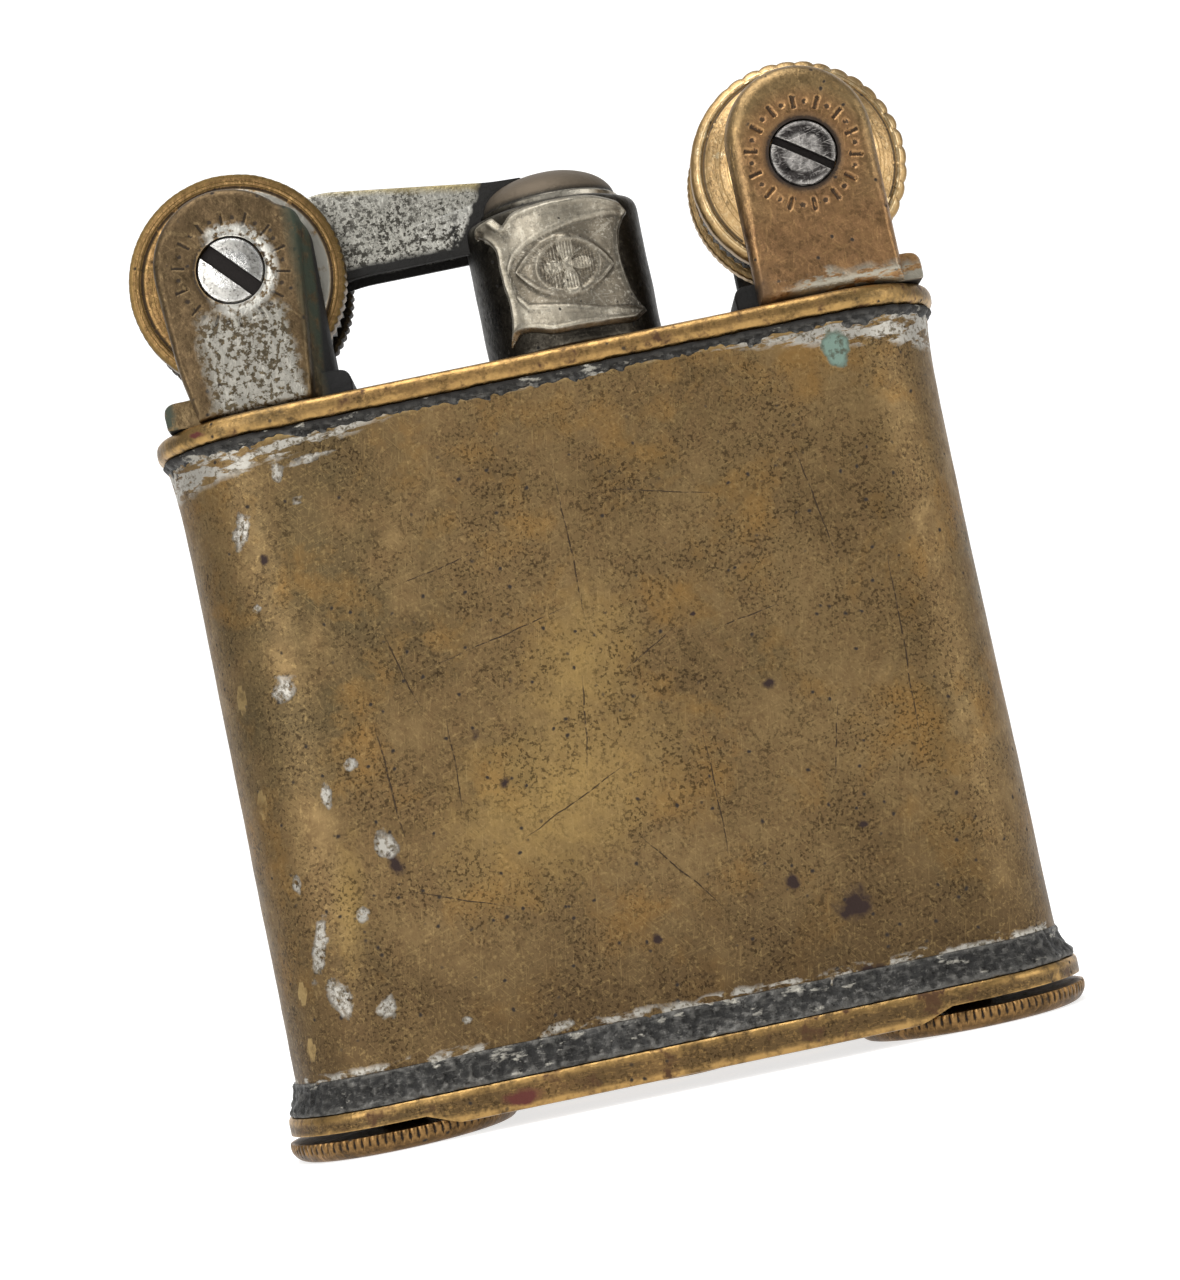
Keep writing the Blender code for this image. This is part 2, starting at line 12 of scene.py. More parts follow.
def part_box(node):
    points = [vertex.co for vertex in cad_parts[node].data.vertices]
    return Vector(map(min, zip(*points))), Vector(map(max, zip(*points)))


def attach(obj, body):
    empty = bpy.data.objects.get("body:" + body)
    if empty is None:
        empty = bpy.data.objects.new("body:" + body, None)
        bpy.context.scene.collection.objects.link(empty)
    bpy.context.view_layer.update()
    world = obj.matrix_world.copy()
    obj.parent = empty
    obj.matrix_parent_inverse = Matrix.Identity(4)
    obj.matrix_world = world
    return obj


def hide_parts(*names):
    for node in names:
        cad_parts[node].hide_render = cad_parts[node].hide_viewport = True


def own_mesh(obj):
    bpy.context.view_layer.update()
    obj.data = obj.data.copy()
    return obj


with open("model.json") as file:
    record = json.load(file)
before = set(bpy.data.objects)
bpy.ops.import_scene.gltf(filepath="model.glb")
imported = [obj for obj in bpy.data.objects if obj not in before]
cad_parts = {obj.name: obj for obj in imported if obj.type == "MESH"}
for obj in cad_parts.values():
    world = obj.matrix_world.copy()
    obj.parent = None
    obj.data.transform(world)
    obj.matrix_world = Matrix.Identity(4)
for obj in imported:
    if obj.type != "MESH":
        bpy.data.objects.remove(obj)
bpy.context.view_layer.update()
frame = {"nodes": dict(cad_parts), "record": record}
mm = 0.001
record = frame["record"]
jointAt = {j["name"]: np.array(j.get("pos_m", (0, 0, 0)), float) for j in record["behaviour"]["joints"]}
bodyOf = {node: body for body, nodes in record["behaviour"]["bodies"].items() for node in nodes}
sides = {"left": jointAt["left_wheel_spin"], "right": jointAt["right_wheel_spin"]}
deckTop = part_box("top_plate")[1][2]
print("frame loaded:", len(frame["nodes"]), "nodes")


def levels(node):
    # a node's lowest and highest z in mm
    low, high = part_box(node)
    return low[2] / mm, high[2] / mm


def middleX(node):
    low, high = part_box(node)
    return (low[0] + high[0]) / 2


def halfWidth(node):
    low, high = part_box(node)
    return (high[0] - low[0]) / 2


tubeX = {side: middleX(side + "_flint_tube") for side in sides}
capX = middleX("snuffer_cup")


def linearColour(code):
    # "#rrggbb" in sRGB to a linear RGBA tuple
    parts = np.array([int(code[i:i + 2], 16) / 255 for i in (1, 3, 5)])
    parts = np.where(parts <= 0.04045, parts / 12.92, ((parts + 0.055) / 1.055) ** 2.4)
    return (*map(float, parts), 1.0)


def addNode(tree, kind, settings=None, links=None):
    # one node: plain settings go on the node or its sockets, links come from other nodes' sockets
    node = tree.nodes.new("ShaderNode" + kind)
    for key, value in (settings or {}).items():
        if isinstance(key, str) and hasattr(node, key):
            setattr(node, key, value)
        else:
            node.inputs[key].default_value = value
    for key, source in (links or {}).items():
        tree.links.new(source, node.inputs[key])
    return node


def waves(points, size, seed, count=26):
    # smooth noise in -1..1: a sum of plane waves of about the given length in random directions
    rng = np.random.default_rng(seed)
    directions = rng.normal(size=(count, 3))
    directions /= np.linalg.norm(directions, axis=1)[:, None]
    rates = 2 * pi / (size * rng.uniform(0.7, 1.5, count))
    phases = rng.uniform(0, 2 * pi, count)
    flat = points.reshape(-1, 3)
    total = np.zeros(len(flat))
    for direction, rate, phase in zip(directions, rates, phases):
        total += np.sin(flat @ direction * rate + phase)
    return (total / np.sqrt(count)).reshape(points.shape[:-1])


def smoothStep(value, low, high):
    # 0 below low, 1 above high, and 3t^2 - 2t^3 between them
    t = np.clip((value - low) / (high - low), 0, 1)
    return t * t * (3 - 2 * t)


def roundedPath(corners, closed=True, steps=6):
    # each corner (x, y, radius) becomes a quadratic bend that starts and ends that far from it
    corners = [np.array(corner, float) for corner in corners]
    count = len(corners)
    t = np.linspace(0, 1, steps)[:, None]
    parts = []
    for i, corner in enumerate(corners):
        here, radius = corner[:2], corner[2]
        if radius <= 0 or (not closed and i in (0, count - 1)):
            parts.append(here[None])
            continue
        before, after = corners[i - 1][:2] - here, corners[(i + 1) % count][:2] - here
        start = here + before / np.linalg.norm(before) * min(radius, 0.49 * np.linalg.norm(before))
        end = here + after / np.linalg.norm(after) * min(radius, 0.49 * np.linalg.norm(after))
        parts.append((1 - t) ** 2 * start + 2 * t * (1 - t) * here + t ** 2 * end)
    return np.concatenate(parts)


def evenly(path, count, closed=True):
    # the path read at even distances along itself
    if closed:
        path = np.concatenate([path, path[:1]])
    along = np.concatenate([[0], np.cumsum(np.linalg.norm(np.diff(path, axis=0), axis=1))])
    at = np.linspace(0, along[-1], count, endpoint=not closed)
    return np.stack([np.interp(at, along, path[:, k]) for k in range(path.shape[1])], -1)


def fullTurn(steps):
    return np.linspace(0, 2 * pi, steps, endpoint=False)


def around(radius, height, angle):
    # points at (radius cos a, radius sin a, height) for every angle a
    return np.stack([radius * np.cos(angle), radius * np.sin(angle), height + 0 * angle], -1)


def turnedGrid(profile, steps):
    # surface of revolution: each (radius, height) of the profile is turned about Z
    return around(profile[:, :1], profile[:, 1:2], fullTurn(steps))


def lifted(points, height):
    # flat points with a third coordinate added
    return np.concatenate([points, np.zeros((len(points), 1)) + height], 1)


def toFront(points):
    # a grid built about Z is tipped so that its axis runs towards -Y
    return np.stack([points[..., 0], -points[..., 2], points[..., 1]], -1)


def poled(points):
    # open ends are closed on their middle points
    first, last = points[:1].mean(1, keepdims=True), points[-1:].mean(1, keepdims=True)
    return np.concatenate([np.repeat(first, points.shape[1], 1), points, np.repeat(last, points.shape[1], 1)])


def makePiece(name, grids, material, nodes, sharp=38):
    # grids: (points, ring) pairs, where ring joins the last row to the first; columns always join
    verts, faces, start = [], [], 0
    for points, ring in grids:
        if not ring:
            points = poled(points)
        rows, cols = points.shape[:2]
        r = np.arange(rows if ring else rows - 1)[:, None]
        c = np.arange(cols)[None]
        r2, c2 = (r + 1) % rows, (c + 1) % cols
        quads = np.stack([r * cols + c, r * cols + c2, r2 * cols + c2, r2 * cols + c], -1)
        verts.append(points.reshape(-1, 3))
        faces.append(quads.reshape(-1, 4) + start)
        start += rows * cols
    mesh = bpy.data.meshes.new(name)
    mesh.from_pydata(np.concatenate(verts), [], np.concatenate(faces))
    work = bmesh.new()
    work.from_mesh(mesh)
    bmesh.ops.remove_doubles(work, verts=work.verts, dist=2e-7)
    bmesh.ops.recalc_face_normals(work, faces=work.faces)
    work.to_mesh(mesh)
    work.free()
    mesh.shade_smooth()
    mesh.set_sharp_from_angle(angle=radians(sharp))
    mesh.materials.append(material)
    piece = bpy.data.objects.new(name, mesh)
    bpy.context.scene.collection.objects.link(piece)
    if nodes:
        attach(piece, bodyOf[nodes[0]])
        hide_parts(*nodes)
    return piece


def cutPiece(piece, grids):
    # takes closed grids out of a piece for good
    cutter = makePiece(piece.name + "Cutter", grids, piece.data.materials[0], ())
    cut = piece.modifiers.new("cut", "BOOLEAN")
    cut.operation, cut.object, cut.solver = "DIFFERENCE", cutter, "MANIFOLD"
    shape = bpy.data.meshes.new_from_object(piece.evaluated_get(bpy.context.evaluated_depsgraph_get()))
    piece.modifiers.clear()
    piece.data = shape
    bpy.data.objects.remove(cutter)
    piece.data.set_sharp_from_angle(angle=radians(38))


def drill(piece, x, profile, steps):
    # takes out a turned hole: profile is (radius, height) pairs in metres, round an upright line at x
    rod = turnedGrid(np.array(profile), steps)
    rod[..., 0] += x
    cutPiece(piece, [(rod, False)])


def sawn(piece, outline, ends, place):
    # takes out a bar: the outline is drawn out between two depths in mm, and put where place says
    bar = np.stack([lifted(np.array(outline), end) for end in ends]) * mm
    cutPiece(piece, [(place(bar), False)])


def pointsOf(piece):
    points = np.empty(len(piece.data.vertices) * 3)
    piece.data.vertices.foreach_get("co", points)
    return points.reshape(-1, 3)


def addField(piece, key, values):
    # one number for each vertex, which the piece's finish reads
    piece.data.attributes.new(key, "FLOAT", "POINT").data.foreach_set("value", values)


view = {"from": (-3.0, -156.2, 15.3), "lens": 74.4, "yaw": -0.05, "pitch": 4.15, "roll": 11.76}


def setCamera():
    camera = bpy.data.objects.new("camera", bpy.data.cameras.new("camera"))
    camera.data.lens = view["lens"]
    camera.data.clip_start, camera.data.clip_end = 0.01, 20
    turn = Matrix.Rotation(radians(view["roll"]), 4, "Y") @ Matrix.Rotation(radians(view["pitch"]), 4, "X")
    turn = turn @ Matrix.Rotation(radians(view["yaw"]), 4, "Z") @ Matrix.Rotation(pi / 2, 4, "X")
    camera.matrix_world = Matrix.Translation(Vector(view["from"]) * mm) @ turn
    bpy.context.scene.collection.objects.link(camera)
    bpy.context.scene.camera = camera


setCamera()
print("camera set")


def startFinish(name, settings):
    # a shader with its fixed values, and the piece's own coordinates in millimetres
    material = bpy.data.materials.new(name)
    material.use_nodes = True
    tree = material.node_tree
    tree.nodes.clear()
    shader = addNode(tree, "BsdfPrincipled", settings)
    addNode(tree, "OutputMaterial", links={"Surface": shader.outputs[0]})
    place = addNode(tree, "TexCoord").outputs["Object"]
    coords = addNode(tree, "Mapping", {"Scale": (1000, 1000, 1000)}, {"Vector": place}).outputs[0]
    return material, tree, shader, coords


def patches(tree, coords, size, low, high, detail=3, stretch=None):
    # 0..1 patches about size mm across; stretch is (degrees in the front plane, lengths) and draws out streaks
    if stretch:
        settings = {"vector_type": "TEXTURE", "Rotation": (0.1, radians(-stretch[0]), 0.1), "Scale": stretch[1]}
        coords = addNode(tree, "Mapping", settings, {"Vector": coords}).outputs[0]
    noise = addNode(tree, "TexNoise", {"Scale": 1 / size, "Detail": detail, "Roughness": 0.62}, {"Vector": coords})
    return band(tree, noise.outputs[0], None, low, high)


def pits(tree, coords, spacing, size, share):
    # round dots of size mm in about the given share of cells spacing mm wide
    cells = addNode(tree, "TexVoronoi", {"Scale": 1 / spacing}, {"Vector": coords})
    near = band(tree, cells.outputs["Distance"], None, size / spacing, 0.45 * size / spacing)
    pick = band(tree, cells.outputs["Color"], None, share, share * 0.8)
    return joined(tree, "MULTIPLY", [near, pick])


def joined(tree, operation, masks):
    # masks or plain numbers put together one after another
    total = masks[0]
    for mask in masks[1:]:
        numbers = {place: part for place, part in enumerate((total, mask)) if isinstance(part, (int, float))}
        links = {place: part for place, part in enumerate((total, mask)) if place not in numbers}
        total = addNode(tree, "Math", {"operation": operation, **numbers}, links).outputs[0]
    return total


def marks(tree, coords, places, face=-6):
    # long soft ellipses at named places on one face: x, z, half length, half width, degrees from level
    nearest = None
    for x, z, reach, width, tilt in places:
        settings = {"vector_type": "TEXTURE", "Location": (x, face, z), "Rotation": (0, radians(-tilt), 0),
                    "Scale": (reach, 6, width)}
        spot = addNode(tree, "Mapping", settings, {"Vector": coords})
        far = addNode(tree, "VectorMath", {"operation": "LENGTH"}, {0: spot.outputs[0]}).outputs["Value"]
        nearest = far if nearest is None else joined(tree, "MINIMUM", [nearest, far])
    return band(tree, nearest, None, 1, 0.55)


def band(tree, source, axis, low, high):
    # 0..1 ramp from low to high along one axis of the coordinates, or over a plain value if the axis is None
    if axis is not None:
        source = addNode(tree, "SeparateXYZ", links={0: source}).outputs[axis]
    return addNode(tree, "MapRange", {"From Min": low, "From Max": high}, {"Value": source}).outputs[0]


def fromAxle(tree, coords, at):
    # distance from an axle's line, which runs along Y through at
    away = addNode(tree, "VectorMath", {"operation": "SUBTRACT", 1: (at[0], 0, at[2])}, {0: coords}).outputs[0]
    flat = addNode(tree, "VectorMath", {"operation": "MULTIPLY", 1: (1, 0, 1)}, {0: away}).outputs[0]
    return addNode(tree, "VectorMath", {"operation": "LENGTH"}, {0: flat}).outputs["Value"]


def shaken(tree, coords, size, reach):
    # coordinates pushed about by noise, for ragged edges
    noise = addNode(tree, "TexNoise", {"Scale": 1 / size, "Detail": 4}, {"Vector": coords}).outputs["Color"]
    push = addNode(tree, "VectorMath", {"operation": "SUBTRACT", 1: (0.5, 0.5, 0.5)}, {0: noise}).outputs[0]
    return addNode(tree, "VectorMath", {"operation": "MULTIPLY_ADD", 1: (reach, reach, reach)},
                   {0: push, 2: coords}).outputs[0]


def coats(tree, base, layers):
    # colours (or plain values) laid over each other in order, each where its mask is 1
    over = base
    for mask, colour in layers:
        mix = addNode(tree, "Mix", {"data_type": "RGBA"}, {0: mask})
        for number, part in ((6, over), (7, colour)):
            if isinstance(part, str):
                mix.inputs[number].default_value = linearColour(part)
            elif isinstance(part, float):
                mix.inputs[number].default_value = (part, part, part, 1)
            else:
                tree.links.new(part, mix.inputs[number])
        over = mix.outputs[2]
    return over


def finishOff(tree, shader, colour, rough, metal, height, depth):
    # joins the layers to the shader; depth is the bump's height in mm
    for number, part in (("Base Color", colour), ("Roughness", rough), ("Metallic", metal)):
        if part is not None:
            tree.links.new(part, shader.inputs[number])
    bump = addNode(tree, "Bump", {"Distance": depth * mm}, {"Height": height})
    tree.links.new(bump.outputs[0], shader.inputs["Normal"])


def wornMetal(name, look, layers=None):
    # shared build of the aged metals: tone in patches, hair scratches both ways, grit, pits and dirt in hollows;
    # a layer is (mask, colour, roughness, metallic, height), and one with no height lies under the grit
    material, tree, shader, coords = startFinish(name, {"Metallic": 1.0})
    cloud = patches(tree, coords, look["cloud"], 0.38, 0.64, 5)
    mottle = patches(tree, coords, look["cloud"] * 0.17, 0.4, 0.66, 4)
    fleck = patches(tree, coords, look["fleck"], 0.56, 0.7, 2)
    hair = joined(tree, "MAXIMUM", [patches(tree, coords, look["hair"], 0.61, 0.72, 1, (tilt, (9, 1.5, 0.8)))
                                    for tilt in look["hairTilts"]])
    dots = pits(tree, shaken(tree, coords, 0.5, 0.25), look["pitSpacing"], look["pitSize"], look["pitShare"])
    grit = joined(tree, "MULTIPLY", [patches(tree, coords, 0.19, 0.52, 0.62, 2),
                                     patches(tree, coords, look["cloud"] * 0.5, 0.3, 0.6, 3), look["grit"]])
    bent = addNode(tree, "NewGeometry").outputs["Pointiness"]
    hollow = joined(tree, "MULTIPLY", [band(tree, bent, None, 0.497, 0.488), look["grime"]])
    # sharp edges lighter: partly worn bright, partly painted highlight
    rubbedAndHighlight = joined(tree, "MULTIPLY", [band(tree, bent, None, 0.504, 0.53), patches(tree, coords, 0.8, 0.3, 0.55),
                                       look["wearAndHighlight"]])
    glint = joined(tree, "MULTIPLY", [hair, look["glint"]])
    fleck = joined(tree, "MULTIPLY", [fleck, look["spark"]])
    made = layers(tree, coords) if layers else ()
    coat = [(cloud, look["dark"]), (mottle, look["mid"])] + [layer[:2] for layer in made if layer[4] is None]
    coat += [(fleck, look["bright"]), (glint, look["bright"]), (grit, look["dirt"]), (rubbedAndHighlight, look["bright"]),
             (dots, look["dirt"]), (hollow, look["dirt"])]
    rough = [(mottle, look["rough"] + 0.1), (fleck, look["rough"] - 0.08), (rubbedAndHighlight, look["rough"] - 0.1),
             (dots, 0.8), (hollow, 0.75)]
    metal = [(dots, 0.35), (hollow, 0.45)]
    height = joined(tree, "SUBTRACT", [mottle, dots, glint])
    for mask, colour, value, shine, lift in (layer for layer in made if layer[4] is not None):
        coat.append((mask, colour))
        rough.append((mask, value))
        metal.append((mask, shine))
        height = joined(tree, "ADD", [height, joined(tree, "MULTIPLY", [mask, lift])])
    finishOff(tree, shader, coats(tree, look["base"], coat), coats(tree, look["rough"], rough),
              coats(tree, 1.0, metal), height, look["bump"])
    return material


# sizes in mm, tilts in degrees; grit, grime, wearAndHighlight, glint and spark are how strongly each shows;
# wearAndHighlight lightens sharp edges, partly as wear and partly as painted highlight
brassLook = {"base": "#856e4b", "dark": "#645137", "mid": "#725c3f", "bright": "#b29765", "dirt": "#2a2118",
             "rough": 0.46, "cloud": 7.0, "fleck": 0.24, "hair": 0.13, "hairTilts": (15, 78, 128), "pitSpacing": 1.0,
             "pitSize": 0.15, "pitShare": 0.62, "bump": 0.016, "spark": 0.28, "grit": 0.7, "grime": 0.8, "wearAndHighlight": 0.7,
             "glint": 0.16}
caseMarks = {
    "plating": [(-18.2, 26.8, 0.75, 0.8, 0), (-18.9, 36.2, 0.5, 1.3, -20), (-18.9, 31.6, 0.35, 0.4, 0),
                (-15.4, 21.8, 0.5, 0.35, 20), (-17.1, 20.3, 0.38, 0.75, 0), (-14.3, 16.9, 0.9, 0.65, -60),
                (-19.8, 15.8, 0.3, 0.6, 0), (-16.4, 13.3, 0.42, 0.5, 0), (-19.2, 12.0, 0.45, 1.9, -18),
                (-18.6, 9.0, 0.7, 1.2, 25), (-16.1, 7.9, 0.6, 0.75, 0), (-15.3, 37.2, 0.6, 0.28, 0),
                (-16.2, 39.0, 0.3, 0.8, 0), (-11.8, 6.3, 0.3, 0.25, 0), (-14.3, 39.4, 2.2, 0.25, 4),
                (-6.7, 4.9, 0.9, 0.3, 10)],
    "verdigris": [(16.55, 39.5, 0.85, 1.25, 10)],
    "stain": [(10.95, 8.2, 1.3, 1.0, 20), (7.8, 10.2, 0.45, 0.6, 30), (10.9, 4.4, 0.9, 0.5, 0),
              (-8.15, 22.0, 0.42, 0.36, 0), (-7.0, 19.0, 0.4, 0.42, 0), (8.8, 21.5, 0.42, 0.4, 0),
              (-0.4, 8.6, 0.35, 0.3, 0), (-17.9, 34.2, 0.3, 0.4, 10), (-14.0, 15.7, 0.45, 0.8, 20),
              (5.4, 26.2, 0.25, 0.2, 0), (-5.5, 24.6, 0.25, 0.2, 0), (12.4, 12.6, 0.35, 0.3, 0)],
    # glow marks are painted highlights: pools of light over the middle of the front and a streak along the dent on the
    # left
    "glow": [(-4.0, 17.8, 9.0, 6.0, 25), (-17.0, 14.0, 1.2, 4.5, -10), (-1.5, 24.5, 6.0, 4.0, 60)],
    "scratch": [(-0.7, 31.5, 0.055, 5.9, 0), (-1.9, 21.4, 0.06, 3.4, -8), (-9.6, 20.6, 0.05, 3.2, -2),
                (-13.4, 20.2, 0.06, 4.2, 4), (-5.6, 27.2, 5.2, 0.045, 12), (4.6, 15.8, 0.045, 4.4, 0),
                (-8.0, 31.8, 4.0, 0.045, 10), (13.6, 31.0, 0.05, 4.6, 10), (16.8, 22.0, 0.05, 7.5, -2),
                (8.2, 25.4, 3.0, 0.045, 9), (-3.2, 17.2, 4.6, 0.045, 24), (1.8, 12.0, 0.05, 3.6, 38),
                (11.9, 17.5, 0.05, 2.6, -12), (-10.8, 13.0, 3.4, 0.045, -20), (5.2, 33.5, 3.6, 0.04, -14),
                (-11.5, 26.4, 0.05, 2.8, 16), (2.6, 24.8, 2.4, 0.045, 30)]}


def markField(points, places):
    # how far each point is from the nearest named mark, 1 at the mark's own edge; front face only
    nearest = np.full(len(points), 3.0)
    for x, z, reach, width, tilt in places:
        away, up = points[:, 0] / mm - x, points[:, 2] / mm - z
        turn = radians(tilt)
        along, across = away * cos(turn) + up * sin(turn), up * cos(turn) - away * sin(turn)
        nearest = np.minimum(nearest, np.hypot(along / reach, across / width))
    return np.where(points[:, 1] < 0, nearest, 3.0)


def agedBrass():
    # drawn brass sheet whose nickel plating has worn off: satin brown gold, pitted, with silvery remains
    def layers(tree, coords):
        ragged = shaken(tree, coords, 1.1, 0.9)
        fine = patches(tree, coords, 0.35, 0.36, 0.52, 4)
        streaks = patches(tree, coords, 0.8, 0.45, 0.51, 5, (2, (2.6, 2.6, 0.6)))
        wander = addNode(tree, "TexNoise", {"Scale": 1.3, "Detail": 5}, {"Vector": coords}).outputs[0]
        masks = {}
        for key, raggedness in (("plating", 1.6), ("verdigris", 0.9), ("stain", 1.6), ("glow", 1.0)):
            field = addNode(tree, "Attribute", {"attribute_name": key}).outputs["Fac"]
            field = joined(tree, "ADD", [joined(tree, "MULTIPLY", [wander, raggedness]), field])
            edge = 1 + 0.5 * raggedness
            masks[key] = band(tree, field, None, edge, edge * (0.2 if key == "glow" else 0.75))
        # plating lasts longest under the rim, where a thumb never rubs, more so towards both ends
        side = addNode(tree, "Math", {"operation": "ABSOLUTE"},
                       {0: addNode(tree, "SeparateXYZ", links={0: coords}).outputs[0]}).outputs[0]
        ends = joined(tree, "ADD", [joined(tree, "MULTIPLY", [band(tree, side, None, 8, 21), 2.05]), 0.55])
        depth = joined(tree, "SUBTRACT", [41.4, addNode(tree, "SeparateXYZ", links={0: ragged}).outputs[2]])
        under = band(tree, joined(tree, "SUBTRACT", [ends, depth]), None, 0, 0.5)
        foot = joined(tree, "MULTIPLY", [band(tree, ragged, 2, 5.0, 4.7), patches(tree, coords, 1.8, 0.45, 0.52, 4)])
        plating = joined(tree, "MULTIPLY", [joined(tree, "MAXIMUM", [under, foot]), streaks])
        plating = joined(tree, "MAXIMUM", [plating, joined(tree, "MULTIPLY", [masks["plating"], fine])])
        tarnish = joined(tree, "MULTIPLY", [plating, patches(tree, coords, 0.3, 0.5, 0.62, 4)])
        olive = patches(tree, coords, 10.0, 0.53, 0.7, 3)
        warm = patches(tree, shaken(tree, coords, 2, 2), 5.0, 0.52, 0.68, 4)
        low = joined(tree, "MULTIPLY", [band(tree, shaken(tree, coords, 5, 5), 2, 14, 3),
                                        patches(tree, coords, 4, 0.2, 0.5)])
        scratch = joined(tree, "MULTIPLY", [marks(tree, shaken(tree, coords, 3.0, 0.5), caseMarks["scratch"]),
                                            patches(tree, coords, 0.5, 0.34, 0.5, 2)])
        crust = band(tree, masks["verdigris"], None, 0.05, 0.5)
        ring = band(tree, masks["plating"], None, 0.02, 0.3)
        ring = joined(tree, "MULTIPLY", [ring, patches(tree, coords, 0.4, 0.36, 0.52, 4)])
        core = joined(tree, "MULTIPLY", [masks["verdigris"], patches(tree, coords, 0.45, 0.36, 0.5, 4)])
        return [(olive, "#5c4f38", 0.5, 1.0, None), (warm, "#86683f", 0.46, 1.0, None),
                (low, "#54432f", 0.52, 0.9, None), (ring, "#43382a", 0.5, 0.8, None),
                # glow: painted highlight, lighter brass where light pools on the front
                (masks["glow"], "#9c8150", 0.4, 1.0, None),
                (masks["stain"], "#2b1a14", 0.62, 0.5, -0.6), (plating, "#aca79d", 0.42, 0.9, 1.1),
                (tarnish, "#665d4d", 0.5, 0.8, -0.4), (scratch, "#372918", 0.6, 0.6, -1.6),
                (crust, "#4c5244", 0.85, 0.1, 1.4), (core, "#6b8074", 0.9, 0.0, 1.6)]
    return wornMetal("agedBrass", brassLook, layers)


def rubbedBrass():
    # stamped brass rims and milled knobs, bright on the edge, partly handled and partly painted highlight, with brown
    # tarnish between
    look = dict(brassLook, base="#8f7047", dark="#5a462f", mid="#745a3a", bright="#bf995e", rough=0.4, cloud=3.4,
                hairTilts=(0, 8, 172), pitSpacing=0.9, pitShare=0.5)

    def layers(tree, coords):
        brown = patches(tree, coords, 1.6, 0.56, 0.66, 4)
        red = marks(tree, shaken(tree, coords, 0.9, 0.8), [(-9.6, 1.6, 1.4, 0.5, 0), (-20.4, 42.1, 0.5, 0.3, 0)])
        uneven = shaken(tree, coords, 3, 6)
        dull = joined(tree, "MAXIMUM", [band(tree, uneven, 0, -9, -17), band(tree, uneven, 0, 14, 19)])
        foot = joined(tree, "MULTIPLY", [band(tree, coords, 2, 3.2, 2.9), patches(tree, coords, 6, 0.25, 0.5)])
        return [(dull, "#5e4e36", 0.46, 1.0, None), (foot, "#604d34", 0.46, 1.0, None),
                (brown, "#513823", 0.55, 0.7, -0.4), (red, "#5a2a22", 0.6, 0.5, -0.3)]
    return wornMetal("rubbedBrass", look, layers)


def softSolder():
    # soft solder laid by hand: grey and lumpy, with painted shadow in the corner under the deck, silvery where it was
    # scraped
    look = dict(brassLook, base="#4a4947", dark="#2b2a29", mid="#3b3a38", bright="#8f8c86", dirt="#171615",
                rough=0.48, grime=0.5, wearAndHighlight=0.3, cloud=2.2, fleck=0.3, hairTilts=(0, 176), pitSpacing=0.8,
                pitSize=0.14, pitShare=0.5, bump=0.03)

    def layers(tree, coords):
        scraped = patches(tree, coords, 0.55, 0.6, 0.67, 4, (0, (2.5, 2.5, 1)))
        # painted shadow: the top of the deck bead goes near black, in the corner under the deck's overhang
        sootAndShade = band(tree, coords, 2, 40.9, 41.35)
        return [(sootAndShade, "#1f1c19", 0.7, 0.5, 0.0), (scraped, "#98948a", 0.42, 0.9, 0.5)]
    return wornMetal("softSolder", look, layers)


